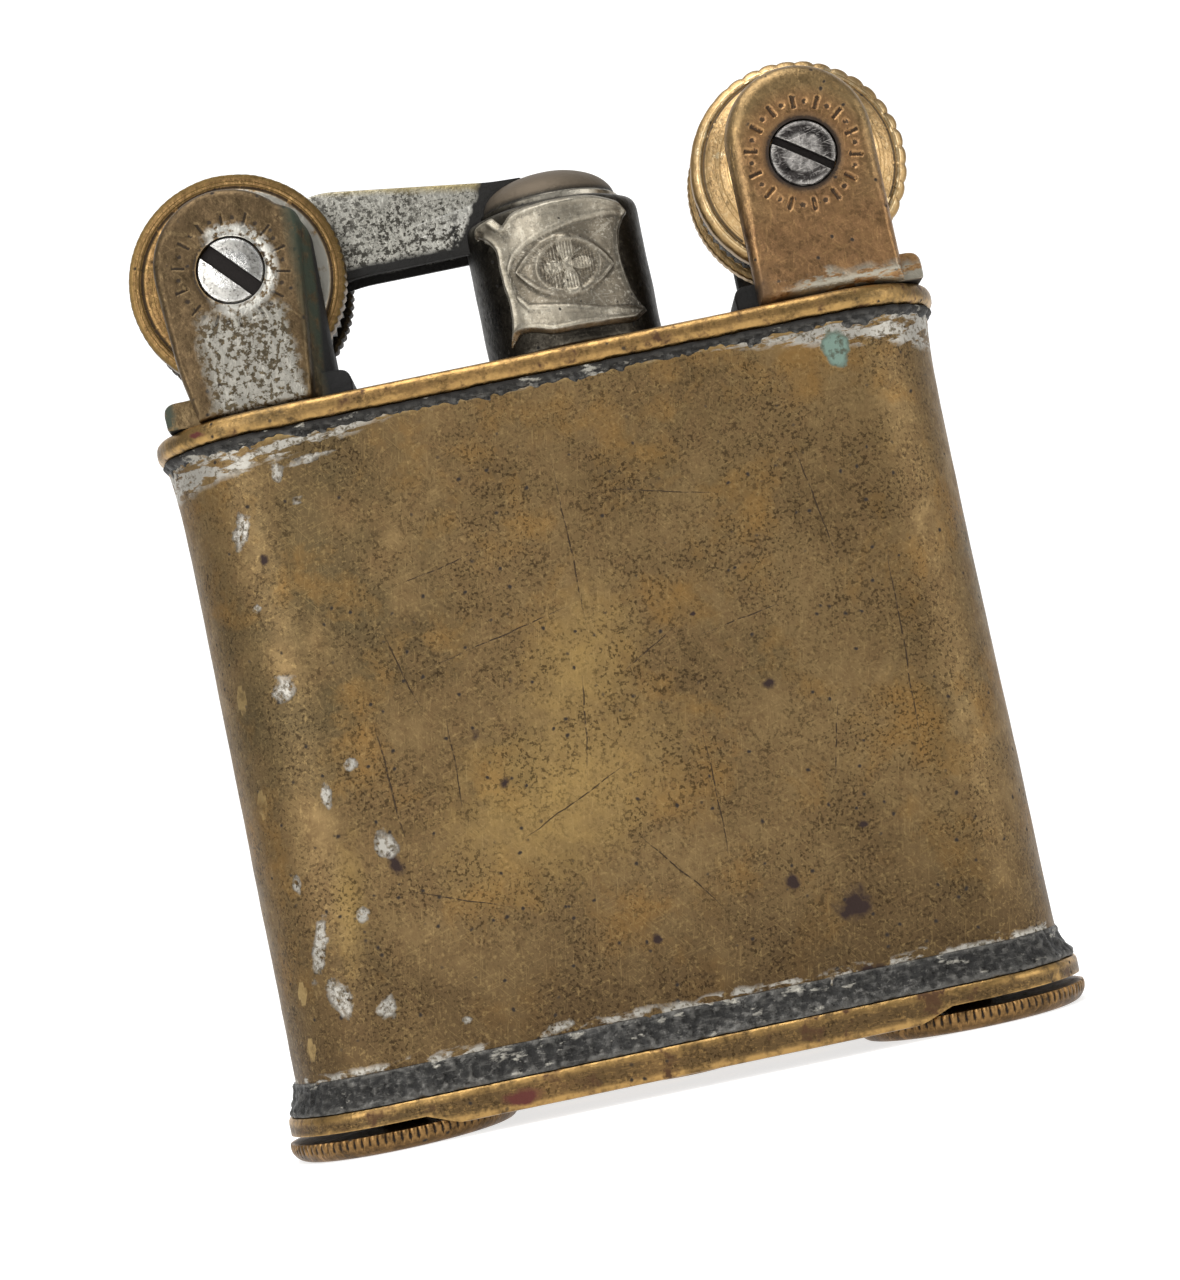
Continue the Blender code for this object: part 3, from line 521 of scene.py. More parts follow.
def forkBrass(side):
    # bent brass plate: the left one dark olive with speckled plating at its foot, the right one warm brown
    at = sides[side] / mm
    if side == "left":
        look = dict(brassLook, base="#66543d", dark="#4b3e2c", mid="#594935", bright="#8f7a58", rough=0.42,
                    cloud=2.4, grit=0.4, wearAndHighlight=0.35)
    else:
        look = dict(brassLook, base="#9f7a53", dark="#755a3f", mid="#8a6949", bright="#c9a26c", rough=0.38,
                    cloud=2.8, grit=0.35, wearAndHighlight=0.2)

    def layers(tree, coords):
        ragged = shaken(tree, coords, 1.3, 1.8)
        far = fromAxle(tree, coords, at)
        if side == "left":
            reach = joined(tree, "MULTIPLY", [band(tree, ragged, 2, at[2] - 2.0, at[2] - 3.0),
                                              band(tree, ragged, 0, at[0] - 2.9, at[0] - 1.9),
                                              band(tree, ragged, 0, at[0] + 3.0, at[0] + 2.4)])
            grains = patches(tree, coords, 0.28, 0.44, 0.52, 5)
            plating = joined(tree, "MULTIPLY", [reach, grains])
            ring = band(tree, far, None, 2.9, 2.5)
            ring = joined(tree, "MULTIPLY", [ring, patches(tree, coords, 0.4, 0.4, 0.5, 3),
                                             band(tree, ragged, 0, at[0] - 1.6, at[0] - 0.4)])
            green = joined(tree, "MULTIPLY", [band(tree, coords, 0, at[0] + 3.3, at[0] + 4.1),
                                              patches(tree, coords, 0.8, 0.3, 0.5, 4)])
            # painted shade: near black on the bent-back flange low down and on everything behind the front ear
            sootAndShade = joined(tree, "MULTIPLY", [band(tree, coords, 0, at[0] + 3.6, at[0] + 4.2),
                                             band(tree, coords, 2, at[2] - 6.3, at[2] - 6.6),
                                             band(tree, coords, 1, -5.2, -4.9)])
            sootAndShade = joined(tree, "MAXIMUM", [band(tree, coords, 1, -4.7, -4.4), sootAndShade])
            edge = joined(tree, "MULTIPLY", [band(tree, ragged, 0, at[0] - 4.6, at[0] - 5.0),
                                             patches(tree, coords, 0.6, 0.4, 0.5, 4)])
            return [(reach, "#4f4739", 0.5, 0.8, None), (plating, "#979389", 0.42, 0.9, 0.8),
                    (ring, "#b3b0a7", 0.36, 0.95, 0.5), (green, "#343b2e", 0.7, 0.5, 0.5),
                    (edge, "#454a3e", 0.7, 0.6, 0.3), (sootAndShade, "#121110", 0.7, 0.3, 0.0)]
        reach = joined(tree, "MULTIPLY", [band(tree, ragged, 2, at[2] - 6.9, at[2] - 7.5),
                                          band(tree, ragged, 0, at[0] - 3.4, at[0] - 1.4)])
        plating = joined(tree, "MULTIPLY", [reach, patches(tree, coords, 0.5, 0.42, 0.5, 5, (2, (2.5, 2.5, 0.8)))])
        sootAndShade = band(tree, far, None, 2.5, 2.05)
        # painted shadow: near black in the ear's lower left corner by the pad
        corner = joined(tree, "MULTIPLY", [band(tree, ragged, 2, at[2] - 5.6, at[2] - 7.3),
                                           band(tree, ragged, 0, at[0] - 3.0, at[0] - 4.4)])
        tan = joined(tree, "MULTIPLY", [band(tree, far, None, 3.2, 4.1), band(tree, coords, 2, at[2] - 4, at[2])])
        # painted shade: dark on everything behind the front ear
        inside = band(tree, coords, 1, -4.75, -4.3)
        # painted shadow: near black on the ear's left side wall
        wall = joined(tree, "MULTIPLY", [band(tree, coords, 1, -5.3, -5.1),
                                         band(tree, coords, 0, at[0] - 3.8, at[0] - 4.1),
                                         band(tree, coords, 2, at[2] + 2.2, at[2] + 1.4)])
        return [(tan, "#8a7350", 0.4, 1.0, None), (plating, "#a39c8c", 0.36, 0.95, 0.5),
                (sootAndShade, "#2b2119", 0.6, 0.6, -0.5), (corner, "#120f0d", 0.7, 0.3, 0.0),
                (inside, "#211a14", 0.65, 0.5, 0.0), (wall, "#0f0d0b", 0.7, 0.3, 0.0)]
    return wornMetal(side + "ForkBrass", look, layers)


def screwSteel(side):
    # turned steel screw head: the left one rubbed silver, the right one left dark, both with file marks
    if side == "left":
        look = dict(brassLook, base="#c0bdb6", dark="#8f8c86", mid="#a9a6a0", bright="#eceae5", dirt="#2c2622",
                    rough=0.3, cloud=1.4, fleck=0.2, hairTilts=(150, 15), pitSpacing=0.7, pitSize=0.1,
                    pitShare=0.4, bump=0.012)
    else:
        look = dict(brassLook, base="#423e3c", dark="#1f1d1c", mid="#2f2c2b", bright="#b3aea8", dirt="#121010",
                    rough=0.34, glint=0.5, cloud=1.1, fleck=0.2, hairTilts=(160, 15), pitSpacing=0.6,
                    pitSize=0.14, pitShare=0.6, bump=0.03)

    def layers(tree, coords):
        slot = band(tree, coords, 1, -5.92, -5.8)
        return [(slot, "#1c1512", 0.7, 0.4, 0.0)]
    return wornMetal(side + "ScrewSteel", look, layers)


def turnedBrass(side):
    # brass turned on a lathe: fine rings round the axle catch the light, dark grease in the grooves
    at = sides[side] / mm
    if side == "left":
        look = dict(brassLook, base="#8f7049", dark="#64502f", mid="#795d3c", bright="#bf9a66", rough=0.34,
                    cloud=3.0, grit=0.5, pitShare=0.35)
    else:
        look = dict(brassLook, base="#cdab7a", dark="#9b7f55", mid="#b89668", bright="#f0dcb2", rough=0.32,
                    cloud=3.4, grit=0.5, pitShare=0.3)

    def layers(tree, coords):
        far = fromAxle(tree, coords, at)
        lathe = addNode(tree, "TexNoise", {"noise_dimensions": "1D", "Scale": 9.0, "Detail": 4}, {"W": far})
        rings = band(tree, lathe.outputs[0], None, 0.55, 0.62)
        rim = band(tree, far, None, 6.22, 6.02)
        rim = joined(tree, "SUBTRACT", [1.0, rim])
        found = [(rings, look["dark"], 0.4, 1.0, -0.3), (rim, look["dark"], 0.42, 0.95, 0.0)]
        if side == "left":
            inner = band(tree, far, None, 4.35, 4.5)
            outer = band(tree, far, None, 5.5, 5.4)
            # the silver ring is real plating, but it is painted only on the right half, where light falls; on the left
            # it stays brass as if in shade
            silverOnLitHalf = joined(tree, "MULTIPLY", [inner, outer, patches(tree, coords, 0.9, 0.33, 0.45, 4),
                                               band(tree, shaken(tree, coords, 2, 2), 0, at[0] - 1.5, at[0] - 0.5)])
            found.append((silverOnLitHalf, "#9b978d", 0.4, 0.95, 0.3))
        return found
    return wornMetal(side + "TurnedBrass", look, layers)


def pittedNickel():
    # plated nickel silver with peppered black pitting, thin and yellow along the worn top edge, painted shade below
    look = dict(brassLook, base="#b5b2a8", dark="#98958b", mid="#a6a399", bright="#d8d5cc", dirt="#2a2822",
                rough=0.4, grit=0.9, cloud=3.6, fleck=0.22, hairTilts=(5, 100), pitSpacing=0.5, pitSize=0.12,
                pitShare=0.55, bump=0.02)

    def layers(tree, coords):
        pepper = joined(tree, "MULTIPLY", [patches(tree, coords, 0.24, 0.51, 0.57, 4),
                                           patches(tree, coords, 2.4, 0.28, 0.5)])
        places = [(-3.6, 50.0, 0.4, 3.4, -6), (-11.0, 50.2, 0.9, 0.9, 30), (-4.4, 49.2, 0.7, 1.0, 0)]
        spots = joined(tree, "MULTIPLY", [marks(tree, shaken(tree, coords, 0.5, 0.9), places, -1),
                                          patches(tree, coords, 0.25, 0.38, 0.5, 3)])
        height = addNode(tree, "SeparateXYZ", links={0: shaken(tree, coords, 1.0, 0.3)}).outputs[2]
        along = addNode(tree, "SeparateXYZ", links={0: coords}).outputs[0]
        level = joined(tree, "ADD", [joined(tree, "MULTIPLY", [along, 0.17]), height])
        edge = band(tree, level, None, 53.35, 53.85)
        # painted shade: the arm goes near black below its lower edge
        under = band(tree, shaken(tree, coords, 0.9, 0.3), 2, 50.95, 50.6)
        # painted shadow starts along a slanted line, as far as the cup and its dome shade the arm
        rugged = addNode(tree, "SeparateXYZ", links={0: shaken(tree, coords, 0.8, 0.9)})
        slant = joined(tree, "ADD", [joined(tree, "MULTIPLY", [rugged.outputs[2], -0.55]), rugged.outputs[0]])
        joint = band(tree, slant, None, cap["armEnd"] - 0.15, cap["armEnd"] + 0.15)
        return [(pepper, "#38352e", 0.6, 0.6, -0.8), (edge, "#8d815f", 0.42, 0.95, 0.0),
                (spots, "#1d1b17", 0.7, 0.4, -0.5), (under, "#14120f", 0.75, 0.3, 0.0),
                (joint, "#1b1916", 0.7, 0.4, 0.0)]
    return wornMetal("pittedNickel", look, layers)


def darkNickel():
    # nickel silver cup, near black, with painted shade on the left of the dome where the arm meets it, and a thin
    # bright ring where the dome begins
    look = dict(brassLook, base="#3c3831", dark="#24211d", mid="#302c26", bright="#6f695d", dirt="#12100d",
                rough=0.42, grime=0.4, wearAndHighlight=0.4, cloud=2.6, fleck=0.25, hairTilts=(0, 176), pitSpacing=0.6,
                pitSize=0.13, pitShare=0.5, bump=0.012)

    def layers(tree, coords):
        low, high = (deckTop / mm + cap[k] for k in ("ringLow", "ringHigh"))
        start = cap["ringFrom"]
        ring = joined(tree, "MULTIPLY", [band(tree, coords, 2, low, low + 0.12),
                                         band(tree, coords, 2, high, high - 0.12),
                                         patches(tree, coords, 1.1, 0.36, 0.5, 3),
                                         band(tree, shaken(tree, coords, 1.5, 3), 0, start, start + 3)])
        dome = band(tree, coords, 2, high, high + 0.3)
        # painted shade: the left of the dome is darker where the arm's end wraps over it
        left = joined(tree, "MULTIPLY", [dome, band(tree, shaken(tree, coords, 1.2, 1.2), 0, -0.6, -1.8)])
        return [(dome, "#675c4e", 0.62, 0.8, 0.0), (left, "#2a2621", 0.65, 0.5, 0.0),
                (ring, "#b5ae9f", 0.34, 1.0, 0.3)]
    return wornMetal("darkNickel", look, layers)


def capNickel():
    # pressed nickel silver ornament: warm grey on the raised parts, soot settled in the hatching
    look = dict(brassLook, base="#a29a8a", dark="#847c6d", mid="#938b7b", bright="#d2ccbc", dirt="#2d2922", rough=0.42,
                cloud=2.2, fleck=0.2, hairTilts=(0, 90), pitSpacing=0.7, pitSize=0.1, pitShare=0.4, bump=0.008,
                grime=0.4, grit=0.3, spark=0.3, wearAndHighlight=0.2)

    def layers(tree, coords):
        sunk = addNode(tree, "Attribute", {"attribute_name": "sunk"}).outputs["Fac"]
        # darker towards the lower right of the plate
        darkerLowRight = joined(tree, "MULTIPLY", [band(tree, shaken(tree, coords, 1.2, 1.2), 0, 4.6, 6.2),
                                          band(tree, coords, 2, 51.5, 48.5)])
        return [(sunk, "#645b4d", 0.48, 0.9, None), (darkerLowRight, "#4a463f", 0.5, 0.8, None)]
    return wornMetal("capNickel", look, layers)


cap = {"ringLow": 9.0, "ringHigh": 9.5, "ringFrom": 0.5, "armEnd": -31.3}


def braidedWick():
    # braided cotton soaked in petrol: off-white yarn, black and brittle at the lit end
    material, tree, shader, coords = startFinish("braidedWick", {"Metallic": 0.0, "Sheen Weight": 0.3})
    yarn = patches(tree, coords, 0.12, 0.35, 0.65, 3, (0, (1, 1, 2.8)))
    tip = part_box("wick")[1][2] / mm
    char = band(tree, shaken(tree, coords, 0.8, 1.2), 2, tip - 3.4, tip - 1.6)
    colour = coats(tree, "#b7aa8c", [(yarn, "#8d7f62"), (char, "#16130f")])
    finishOff(tree, shader, colour, coats(tree, 0.9, [(yarn, 0.8)]), None, yarn, 0.05)
    return material


evenMetals = {
    # knurled brass knobs: dull brown, black in the notches, gold only on the crests of the teeth
    "handledBrass": dict(brassLook, base="#604a31", dark="#3d3022", mid="#4e3d29", bright="#a27d4e", rough=0.42,
                         cloud=2.6, hairTilts=(0, 174), pitSpacing=0.8, pitShare=0.5, grime=1.0),
    # brass disc on the burner side, matt and black with soot, brass only on the rim's edge, partly touched and partly
    # painted highlight
    "sootyBrass": dict(brassLook, base="#231f1a", dark="#151310", mid="#1c1916", bright="#5c4e39", dirt="#0c0b09",
                       rough=0.58, wearAndHighlight=0.3, cloud=2.0, pitSpacing=0.6),
    # file-cut hardened steel: dark, with grey sparkle on the tips of the teeth
    "hardSteel": dict(brassLook, base="#35332f", dark="#1d1b19", mid="#292724", bright="#6d6a64", dirt="#0d0c0b",
                      rough=0.45, cloud=1.8, fleck=0.2, hairTilts=(0, 90), pitSpacing=0.5, pitSize=0.12,
                      pitShare=0.6, bump=0.02),
    # drawn brass tube and turned fittings, dull yellow with a little grime
    "plainBrass": dict(brassLook, base="#a58750", dark="#6e5734", mid="#8d7043", bright="#cfb077", rough=0.4,
                       cloud=2.0)}


def stained(name, settings, colours, roughness, fine, wide, depth):
    # a fine pattern that also makes the bump, under wide stains; a colour and a roughness for each
    material, tree, shader, coords = startFinish(name, settings)
    masks = [patches(tree, coords, *fine), patches(tree, coords, *wide)]
    colour, rough = (coats(tree, parts[0], list(zip(masks, parts[1:]))) for parts in (colours, roughness))
    finishOff(tree, shader, colour, rough, None, masks[0], depth)
    return material


finishes = {"case": agedBrass(), "rim": rubbedBrass(), "solder": softSolder(), "arm": pittedNickel(),
            "cup": darkNickel(), "cartouche": capNickel(), "wick": braidedWick(),
            # carded cotton: soft matt white fibres with a faint yellow of old fuel
            "cotton": stained("cottonWool", {"Metallic": 0.0, "Sheen Weight": 0.4}, ("#d8d2c2", "#bfb8a6", "#b8a982"),
                              (0.95, 0.85), (0.3, 0.35, 0.65, 5, (35, (3, 1, 1))), (8.0, 0.45, 0.65), 0.15),
            # extruded cerium alloy: dull grey rod with a grainy, slightly oxidised skin
            "flint": stained("castFlint", {"Metallic": 0.6}, ("#5a5a5b", "#3f3f40", "#6a5a48"), (0.62, 0.75),
                             (0.15, 0.35, 0.65, 4), (1.2, 0.55, 0.7), 0.03),
            # drawn spring steel wire: fine marks along the wire and a straw tint from tempering
            "spring": stained("drawnWire", {"Metallic": 1.0}, ("#9a9893", "#7c7a75", "#8a7a58"), (0.3, 0.42),
                              (0.12, 0.4, 0.6, 3), (2.5, 0.42, 0.62), 0.008),
            # vulcanised fibre washer: matt brick red with short pressed fibres
            "fibre": stained("redFibre", {"Metallic": 0.0}, ("#7c4030", "#95543f", "#4c281f"), (0.7, 0.6, 0.5),
                             (0.2, 0.4, 0.62, 4, (0, (3, 1, 1))), (2.0, 0.5, 0.7), 0.03)}
for key, name in (("knob", "handledBrass"), ("sootAndShade", "sootyBrass"), ("spark", "hardSteel"), ("plain", "plainBrass")):
    finishes[key] = wornMetal(name, evenMetals[name])
for side in sides:
    finishes[side + "Fork"] = forkBrass(side)
    finishes[side + "Screw"] = screwSteel(side)
    finishes[side + "Disc"] = turnedBrass(side)
print("finishes made:", len(finishes))


case = {"width": 47.0, "depth": 13.6, "overhang": 0.85, "sheet": 0.5, "topFlare": 0.42, "topReach": 2.4,
        "baseFlare": 0.15, "baseReach": 0.8, "ripple": 0.022, "cols": 560, "rows": 108, "rimCols": 620,
        "solderCols": 700, "knobRecess": 1.6, "recessRamp": 1.1, "through": 60, "below": -1}
dents = [(-14.5, 12.5, 2.6, 0.16), (-16.2, 15.5, 1.8, 0.12), (-13.2, 8.5, 1.6, 0.07), (4.0, 20.0, 7.0, -0.05),
         (11.5, 27.0, 3.0, 0.05), (-5.0, 33.0, 4.0, 0.04)]  # x, z, radius, depth of each, on the front


def ovalWalk(width, depth, cols):
    # even steps round a flat oval: the nearest point of its middle line, and the outward direction
    radius, reach = depth / 2, (width - depth) / 2
    arc = pi * radius
    s = np.linspace(0, 4 * reach + 2 * arc, cols, endpoint=False)
    onRight, onBack, onLeft = s - 2 * reach, s - 2 * reach - arc, s - 4 * reach - arc
    turn = np.where(onRight < 0, -pi / 2, np.where(onBack < 0, onRight / radius - pi / 2,
                    np.where(onLeft < 0, pi / 2, onLeft / radius + pi / 2)))
    middle = np.where(onRight < 0, s - reach,
                      np.where(onBack < 0, reach, np.where(onLeft < 0, reach - onBack, -reach)))
    zero = np.zeros(cols)
    return np.stack([middle, zero, zero], -1), np.stack([np.cos(turn), np.sin(turn), zero], -1)


def aroundOval(profile, width, depth, cols):
    # carries a profile of (outward offset, height) round the oval
    middle, outward = ovalWalk(width, depth, cols)
    grid = middle + outward * (depth / 2 + profile[:, :1, None])
    grid[..., 2] = profile[:, 1:2]
    return grid


def makeShell():
    # the wall flares a little towards both rims and carries shallow dents and hand-made ripples
    low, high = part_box("case_shell")[0][2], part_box("case_shell")[1][2]
    width, depth = ((case[k] - 2 * case["overhang"]) * mm for k in ("width", "depth"))
    z = np.linspace(low, high, case["rows"])
    flare = case["topFlare"] * np.exp(-(high - z) / (case["topReach"] * mm))
    flare += case["baseFlare"] * np.exp(-(z - low) / (case["baseReach"] * mm))
    outer = np.stack([flare * mm, z], -1)
    inner = np.stack([flare[::-9] * mm - case["sheet"] * mm, z[::-9]], -1)
    grid = aroundOval(np.concatenate([outer, inner]), width, depth, case["cols"])
    outward = ovalWalk(width, depth, case["cols"])[1]
    lift = case["ripple"] * waves(grid, 9 * mm, 1) + 0.006 * waves(grid, 2.2 * mm, 2)
    for x, height, radius, sink in dents:
        far = ((grid[..., 0] / mm - x) ** 2 + (grid[..., 2] / mm - height) ** 2) / radius ** 2
        lift = lift - sink * np.exp(-far) * (grid[..., 1] < 0)
    piece = makePiece("caseShell", [(grid + outward * lift[..., None] * mm, True)], finishes["case"], ["case_shell"])
    for key in ("plating", "verdigris", "stain", "glow"):
        addField(piece, key, markField(pointsOf(piece), caseMarks[key]))


def makeRims():
    # each plate is a rounded edge carried round the oval and closed over its middle, then drilled
    width, depth, cols = case["width"] * mm, case["depth"] * mm, case["rimCols"]
    tubeRadius = halfWidth("left_flint_tube") + 0.02 * mm
    for name, node, soft in (("deckPlate", "top_plate", 0.62), ("basePlate", "bottom_plate", 0.34)):
        low, high = levels(node)
        inside = -0.46 * case["depth"]
        edge = roundedPath([(inside, low, 0), (0, low, soft), (0, high, soft), (inside, high, 0)], False, 9)
        grid = aroundOval(evenly(edge * mm, 72, False), width, depth, cols)
        lift = 0.02 * waves(grid, 5 * mm, 3) + 0.008 * waves(grid, 1.1 * mm, 4) - 0.01
        grid = grid + ovalWalk(width, depth, cols)[1] * lift[..., None] * mm
        plate = makePiece(name, [(grid, False)], finishes["rim"], [node])
        holes = [(x, tubeRadius, case["through"]) for x in tubeX.values()]
        if node == "top_plate":
            holes.append((middleX("wick"), 2.02 * mm, case["through"]))
        else:
            holes += [(x, halfWidth("left_flint_knob"), case["knobRecess"]) for x in tubeX.values()]
            holes += [(0, 3.75 * mm, 1.75), (0, 2.0 * mm, case["through"])]
        for x, radius, top in holes:
            # the knob's room runs out in a slope, not a step
            ramp = case["recessRamp"] * mm if top == case["knobRecess"] else 0
            drill(plate, x, [(radius + ramp, case["below"] * mm), (radius + ramp, 0.6 * mm),
                             (radius + 0.2 * ramp, top * mm)], 120)


def makeSolder():
    # a bead with a hollow face fills the corner under the deck and over the base, lumpy as it cooled
    width, depth = ((case[k] - 2 * case["overhang"]) * mm for k in ("width", "depth"))
    for name, node, side, out, tall in (("deckSolder", "top_solder_fillet", -1, 0.62, 1.15),
                                        ("baseSolder", "base_solder_fillet", 1, 0.68, 1.75)):
        seat = levels(node)[0 if side > 0 else 1]
        face = roundedPath([(-0.1, seat - 0.09 * side, 0), (out, seat - 0.09 * side, 0.1),
                            (out, seat + 0.16 * side, 0.1), (0.24, seat + 0.5 * tall * side, 0.5),
                            (0.1, seat + tall * side, 0.1),
                            (-0.1, seat + tall * side, 0)], True, 8)
        grid = aroundOval(evenly(face, 44) * mm, width, depth, case["solderCols"])
        outward = ovalWalk(width, depth, case["solderCols"])[1]
        lift = 0.06 * waves(grid, 1.9 * mm, 5) + 0.05 * waves(grid, 0.6 * mm, 6)
        makePiece(name, [(grid + outward * lift[..., None] * mm, True)], finishes["solder"], [node])


makeShell()
makeRims()
makeSolder()
print("case made")


fork = {"width": 8.6, "face": 6.0, "sheet": 1.2, "rise": 1.0, "hole": 2.0, "padWidth": 11.0, "padTop": 1.6,
        "tickRing": 3.05, "ticks": 14,
        "fold": {"angle": 62, "top": 3.95, "slope": 0.115, "soft": 0.8, "arch": 4.45, "rise": 0.4, "wing": 5.7}}


def earGrid(flip, ticked, folded, soft):
    # rows run from the screw hole over the face, round the edge and back along the inner side
    half, foot = fork["width"] / 2, (deckTop - sides["left"][2]) / mm + 0.02
    if folded:
        bend = fork["fold"]
        arch = [(bend["arch"] * cos(a), bend["rise"] + bend["arch"] * sin(a), 0) for a in np.linspace(0.75, pi, 34)]
        arch = [(bend["wing"], foot, 0), (bend["wing"] - 0.35, 1.6, 0.5), (bend["arch"] - 0.4, 3.0, 0.3)] + arch
        lean = [(-bend["arch"] + 0.08, -1.5, 1.0), (0.35 - bend["arch"], -5.4, 1.0), (0.95 - bend["arch"], foot, 0)]
    else:
        arch = [(half * cos(a), fork["rise"] + half * 1.02 * sin(a), 0) for a in np.linspace(0, pi, 40)]
        lean = [(-half, foot, 0), (half, foot, 0)]
    outline = evenly(roundedPath(lean + arch), 480)
    reach = np.linalg.norm(outline, axis=1)[:, None]
    ray = outline / reach
    hole, face, back = fork["hole"], fork["face"], fork["face"] - fork["sheet"]
    rows = []
    for mix in np.concatenate([np.linspace(0, 0.62, 44), np.linspace(0.64, 1, 26)]):
        edge = np.clip((mix * (reach - hole) + hole - reach + soft) / soft, 0, 1)
        drop = soft * (1 - np.sqrt(1 - np.minimum(edge, 0.999) ** 2))
        rows.append(lifted(ray * (hole + (reach - hole) * mix), face - drop))
    rows += [lifted(outline, back + 0.25), lifted(ray * (reach - 0.12), back)]
    rows += [lifted(ray * (hole + (reach - hole) * mix), back) for mix in (0.6, 0.3, 0)]
    rows.append(lifted(ray * hole, face - 0.4))
    grid = np.stack(rows)
    x, z, out = grid[..., 0], grid[..., 1], grid[..., 2]
    onFace = out > face - 0.3
    lift = 0.02 * waves(grid, 3.0, 7 + flip) + 0.012 * waves(grid, 0.9, 9 + flip)
    around, far = np.arctan2(z, x), np.hypot(x, z)
    lift = lift - 0.05 * np.exp(-((far - 2.12) / 0.14) ** 2)
    if ticked:
        bold = 1.45 if not folded else 0.9
        phase = (around * fork["ticks"] / (2 * pi)) % 1 - 0.5
        width = 0.085 / np.maximum(far, 1) * fork["ticks"] / (2 * pi)
        band = smoothStep(0.45 - np.abs(far - fork["tickRing"]), 0, 0.12)
        lift = lift - 0.11 * bold * np.exp(-(phase / width / bold) ** 2) * band
        dots = (around * fork["ticks"] / (2 * pi) + 0.5) % 1 - 0.5
        spot = np.hypot(dots * 2 * pi / fork["ticks"] * far, far - fork["tickRing"])
        lift = lift - 0.09 * bold * np.exp(-(spot / 0.15) ** 2)
    out = out + np.where(onFace, lift, 0)
    if folded:
        # the turn grows smoothly over the soft width, so the bend has a radius
        line = bend["top"] + bend["slope"] * np.minimum(z - 2, 0)
        past = np.maximum(x - line, 0)
        turn = radians(bend["angle"]) * smoothStep(past, 0, bend["soft"])
        x = np.minimum(x, line) + past * np.cos(turn * 0.8)
        out = out - past * np.sin(turn)
    grid = np.stack([x, z, out], -1)
    if flip:
        grid = grid * (-1, 1, -1)
    return toFront(grid * mm)


def makeForks():
    # a pad with rounded shoulders, carried from front to back between the two ears
    for side, at in sides.items():
        left = side == "left"
        foot, top = (deckTop - at[2]) / mm + 0.02, (deckTop - at[2]) / mm + fork["padTop"]
        half, deep = fork["padWidth"] / 2, fork["face"] - fork["sheet"] - 0.03
        section = roundedPath([(-half, foot, 0.1), (half, foot, 0.1), (half, top, 0.7), (-half, top, 0.7)])
        section = evenly(section, 160)
        rings = [(0.985, -deep), (1, 0.12 - deep)] + [(1, y) for y in np.linspace(0.3 - deep, deep - 0.3, 16)]
        rings += [(1, deep - 0.12), (0.985, deep)]
        middle = np.array([0, (foot + top) / 2])
        pad = np.stack([lifted(middle + (section - middle) * scale, y) for scale, y in rings])
        pad = toFront((pad + 0.02 * waves(pad, 2.0, 11)[..., None]) * mm) + at
        ears = [earGrid(0, True, left, 0.55 if left else 0.95) + at, earGrid(1, False, False, 0.5) + at]
        grids = [(pad, False)] + [(ear, True) for ear in ears]
        piece = makePiece(side + "Fork", grids, finishes[side + "Fork"], [side + "_fork"])
        radius = halfWidth(side + "_flint_tube") + 0.02 * mm
        drill(piece, tubeX[side], [(radius, 40 * mm), (radius, 47 * mm)], 96)


screws = {"left": {"slot": 0.95, "angle": 47, "nose": 0.16}, "right": {"slot": 0.5, "angle": 35, "nose": 0.1}}


def makeAxleScrews():
    # a low domed head with a sawn slot, a plain shank and a short end that shows in the rear ear
    for side, at in sides.items():
        cut = screws[side]
        face = fork["face"]
        outline = roundedPath([(0.95, -face + 0.2, 0.1), (0.95, face - 0.75, 0), (1.93, face - 0.75, 0.05),
                               (1.93, face - 0.02, 0.12), (1.1, face + cut["nose"], 0.6)], False, 8)
        grid = turnedGrid(evenly(outline * mm, 90, False), 128)
        piece = makePiece(side + "AxleScrew", [(toFront(grid) + at, False)], finishes[side + "Screw"],
                          [side + "_axle_screw"])
        half, deep = cut["slot"] / 2, face - 0.42
        bar = np.array([(-3, -half), (3, -half), (3, half), (-3, half)])
        turn = radians(-cut["angle"])
        bar = bar @ np.array([(cos(turn), sin(turn)), (-sin(turn), cos(turn))])
        sawn(piece, bar, (deep, face + 2), lambda points: toFront(points) + at)


makeForks()
makeAxleScrews()
print("forks and screws made")


wheel = {"radius": 6.4, "back": 1.75, "face": 3.0, "nose": 4.5, "bore": 1.66, "teeth": 80, "toothDepth": 0.17,
         "scallops": 36, "scallopDepth": 0.17,
         "knurled": {"left": (-32, 62), "right": (28, 110)},  # middle and half reach in degrees
         "sparkTeeth": 64, "sparkDepth": 0.3, "sparkRadius": 6.1, "sparkHalf": 1.1}


def discProfile(side):
    r, back, face, nose, bore = (wheel[k] for k in ("radius", "back", "face", "nose", "bore"))
    if side == "left":
        outer = [(r, face - 0.04, 0.16), (r - 0.72, face + 0.02, 0.05), (r - 0.82, face - 0.12, 0.04),
                 (r - 0.92, face, 0.05), (r - 2.0, face + 0.06, 0.05), (r - 2.08, face - 0.16, 0.04),
                 (r - 2.2, face + 0.1, 0.06), (2.4, nose - 0.15, 0.3)]
    else:
        outer = [(r, face - 0.34, 0.2), (r - 0.55, face - 0.02, 0.12), (r - 0.68, face - 0.1, 0.05),
                 (r - 0.8, face, 0.1), (4.3, face + 0.86, 0.5), (2.5, nose - 0.1, 0.4)]
    corners = [(bore, back, 0), (r - 0.1, back, 0.08), (r, back + 0.1, 0.08)] + outer + [(bore, nose, 0)]
    return evenly(roundedPath(corners), 96)


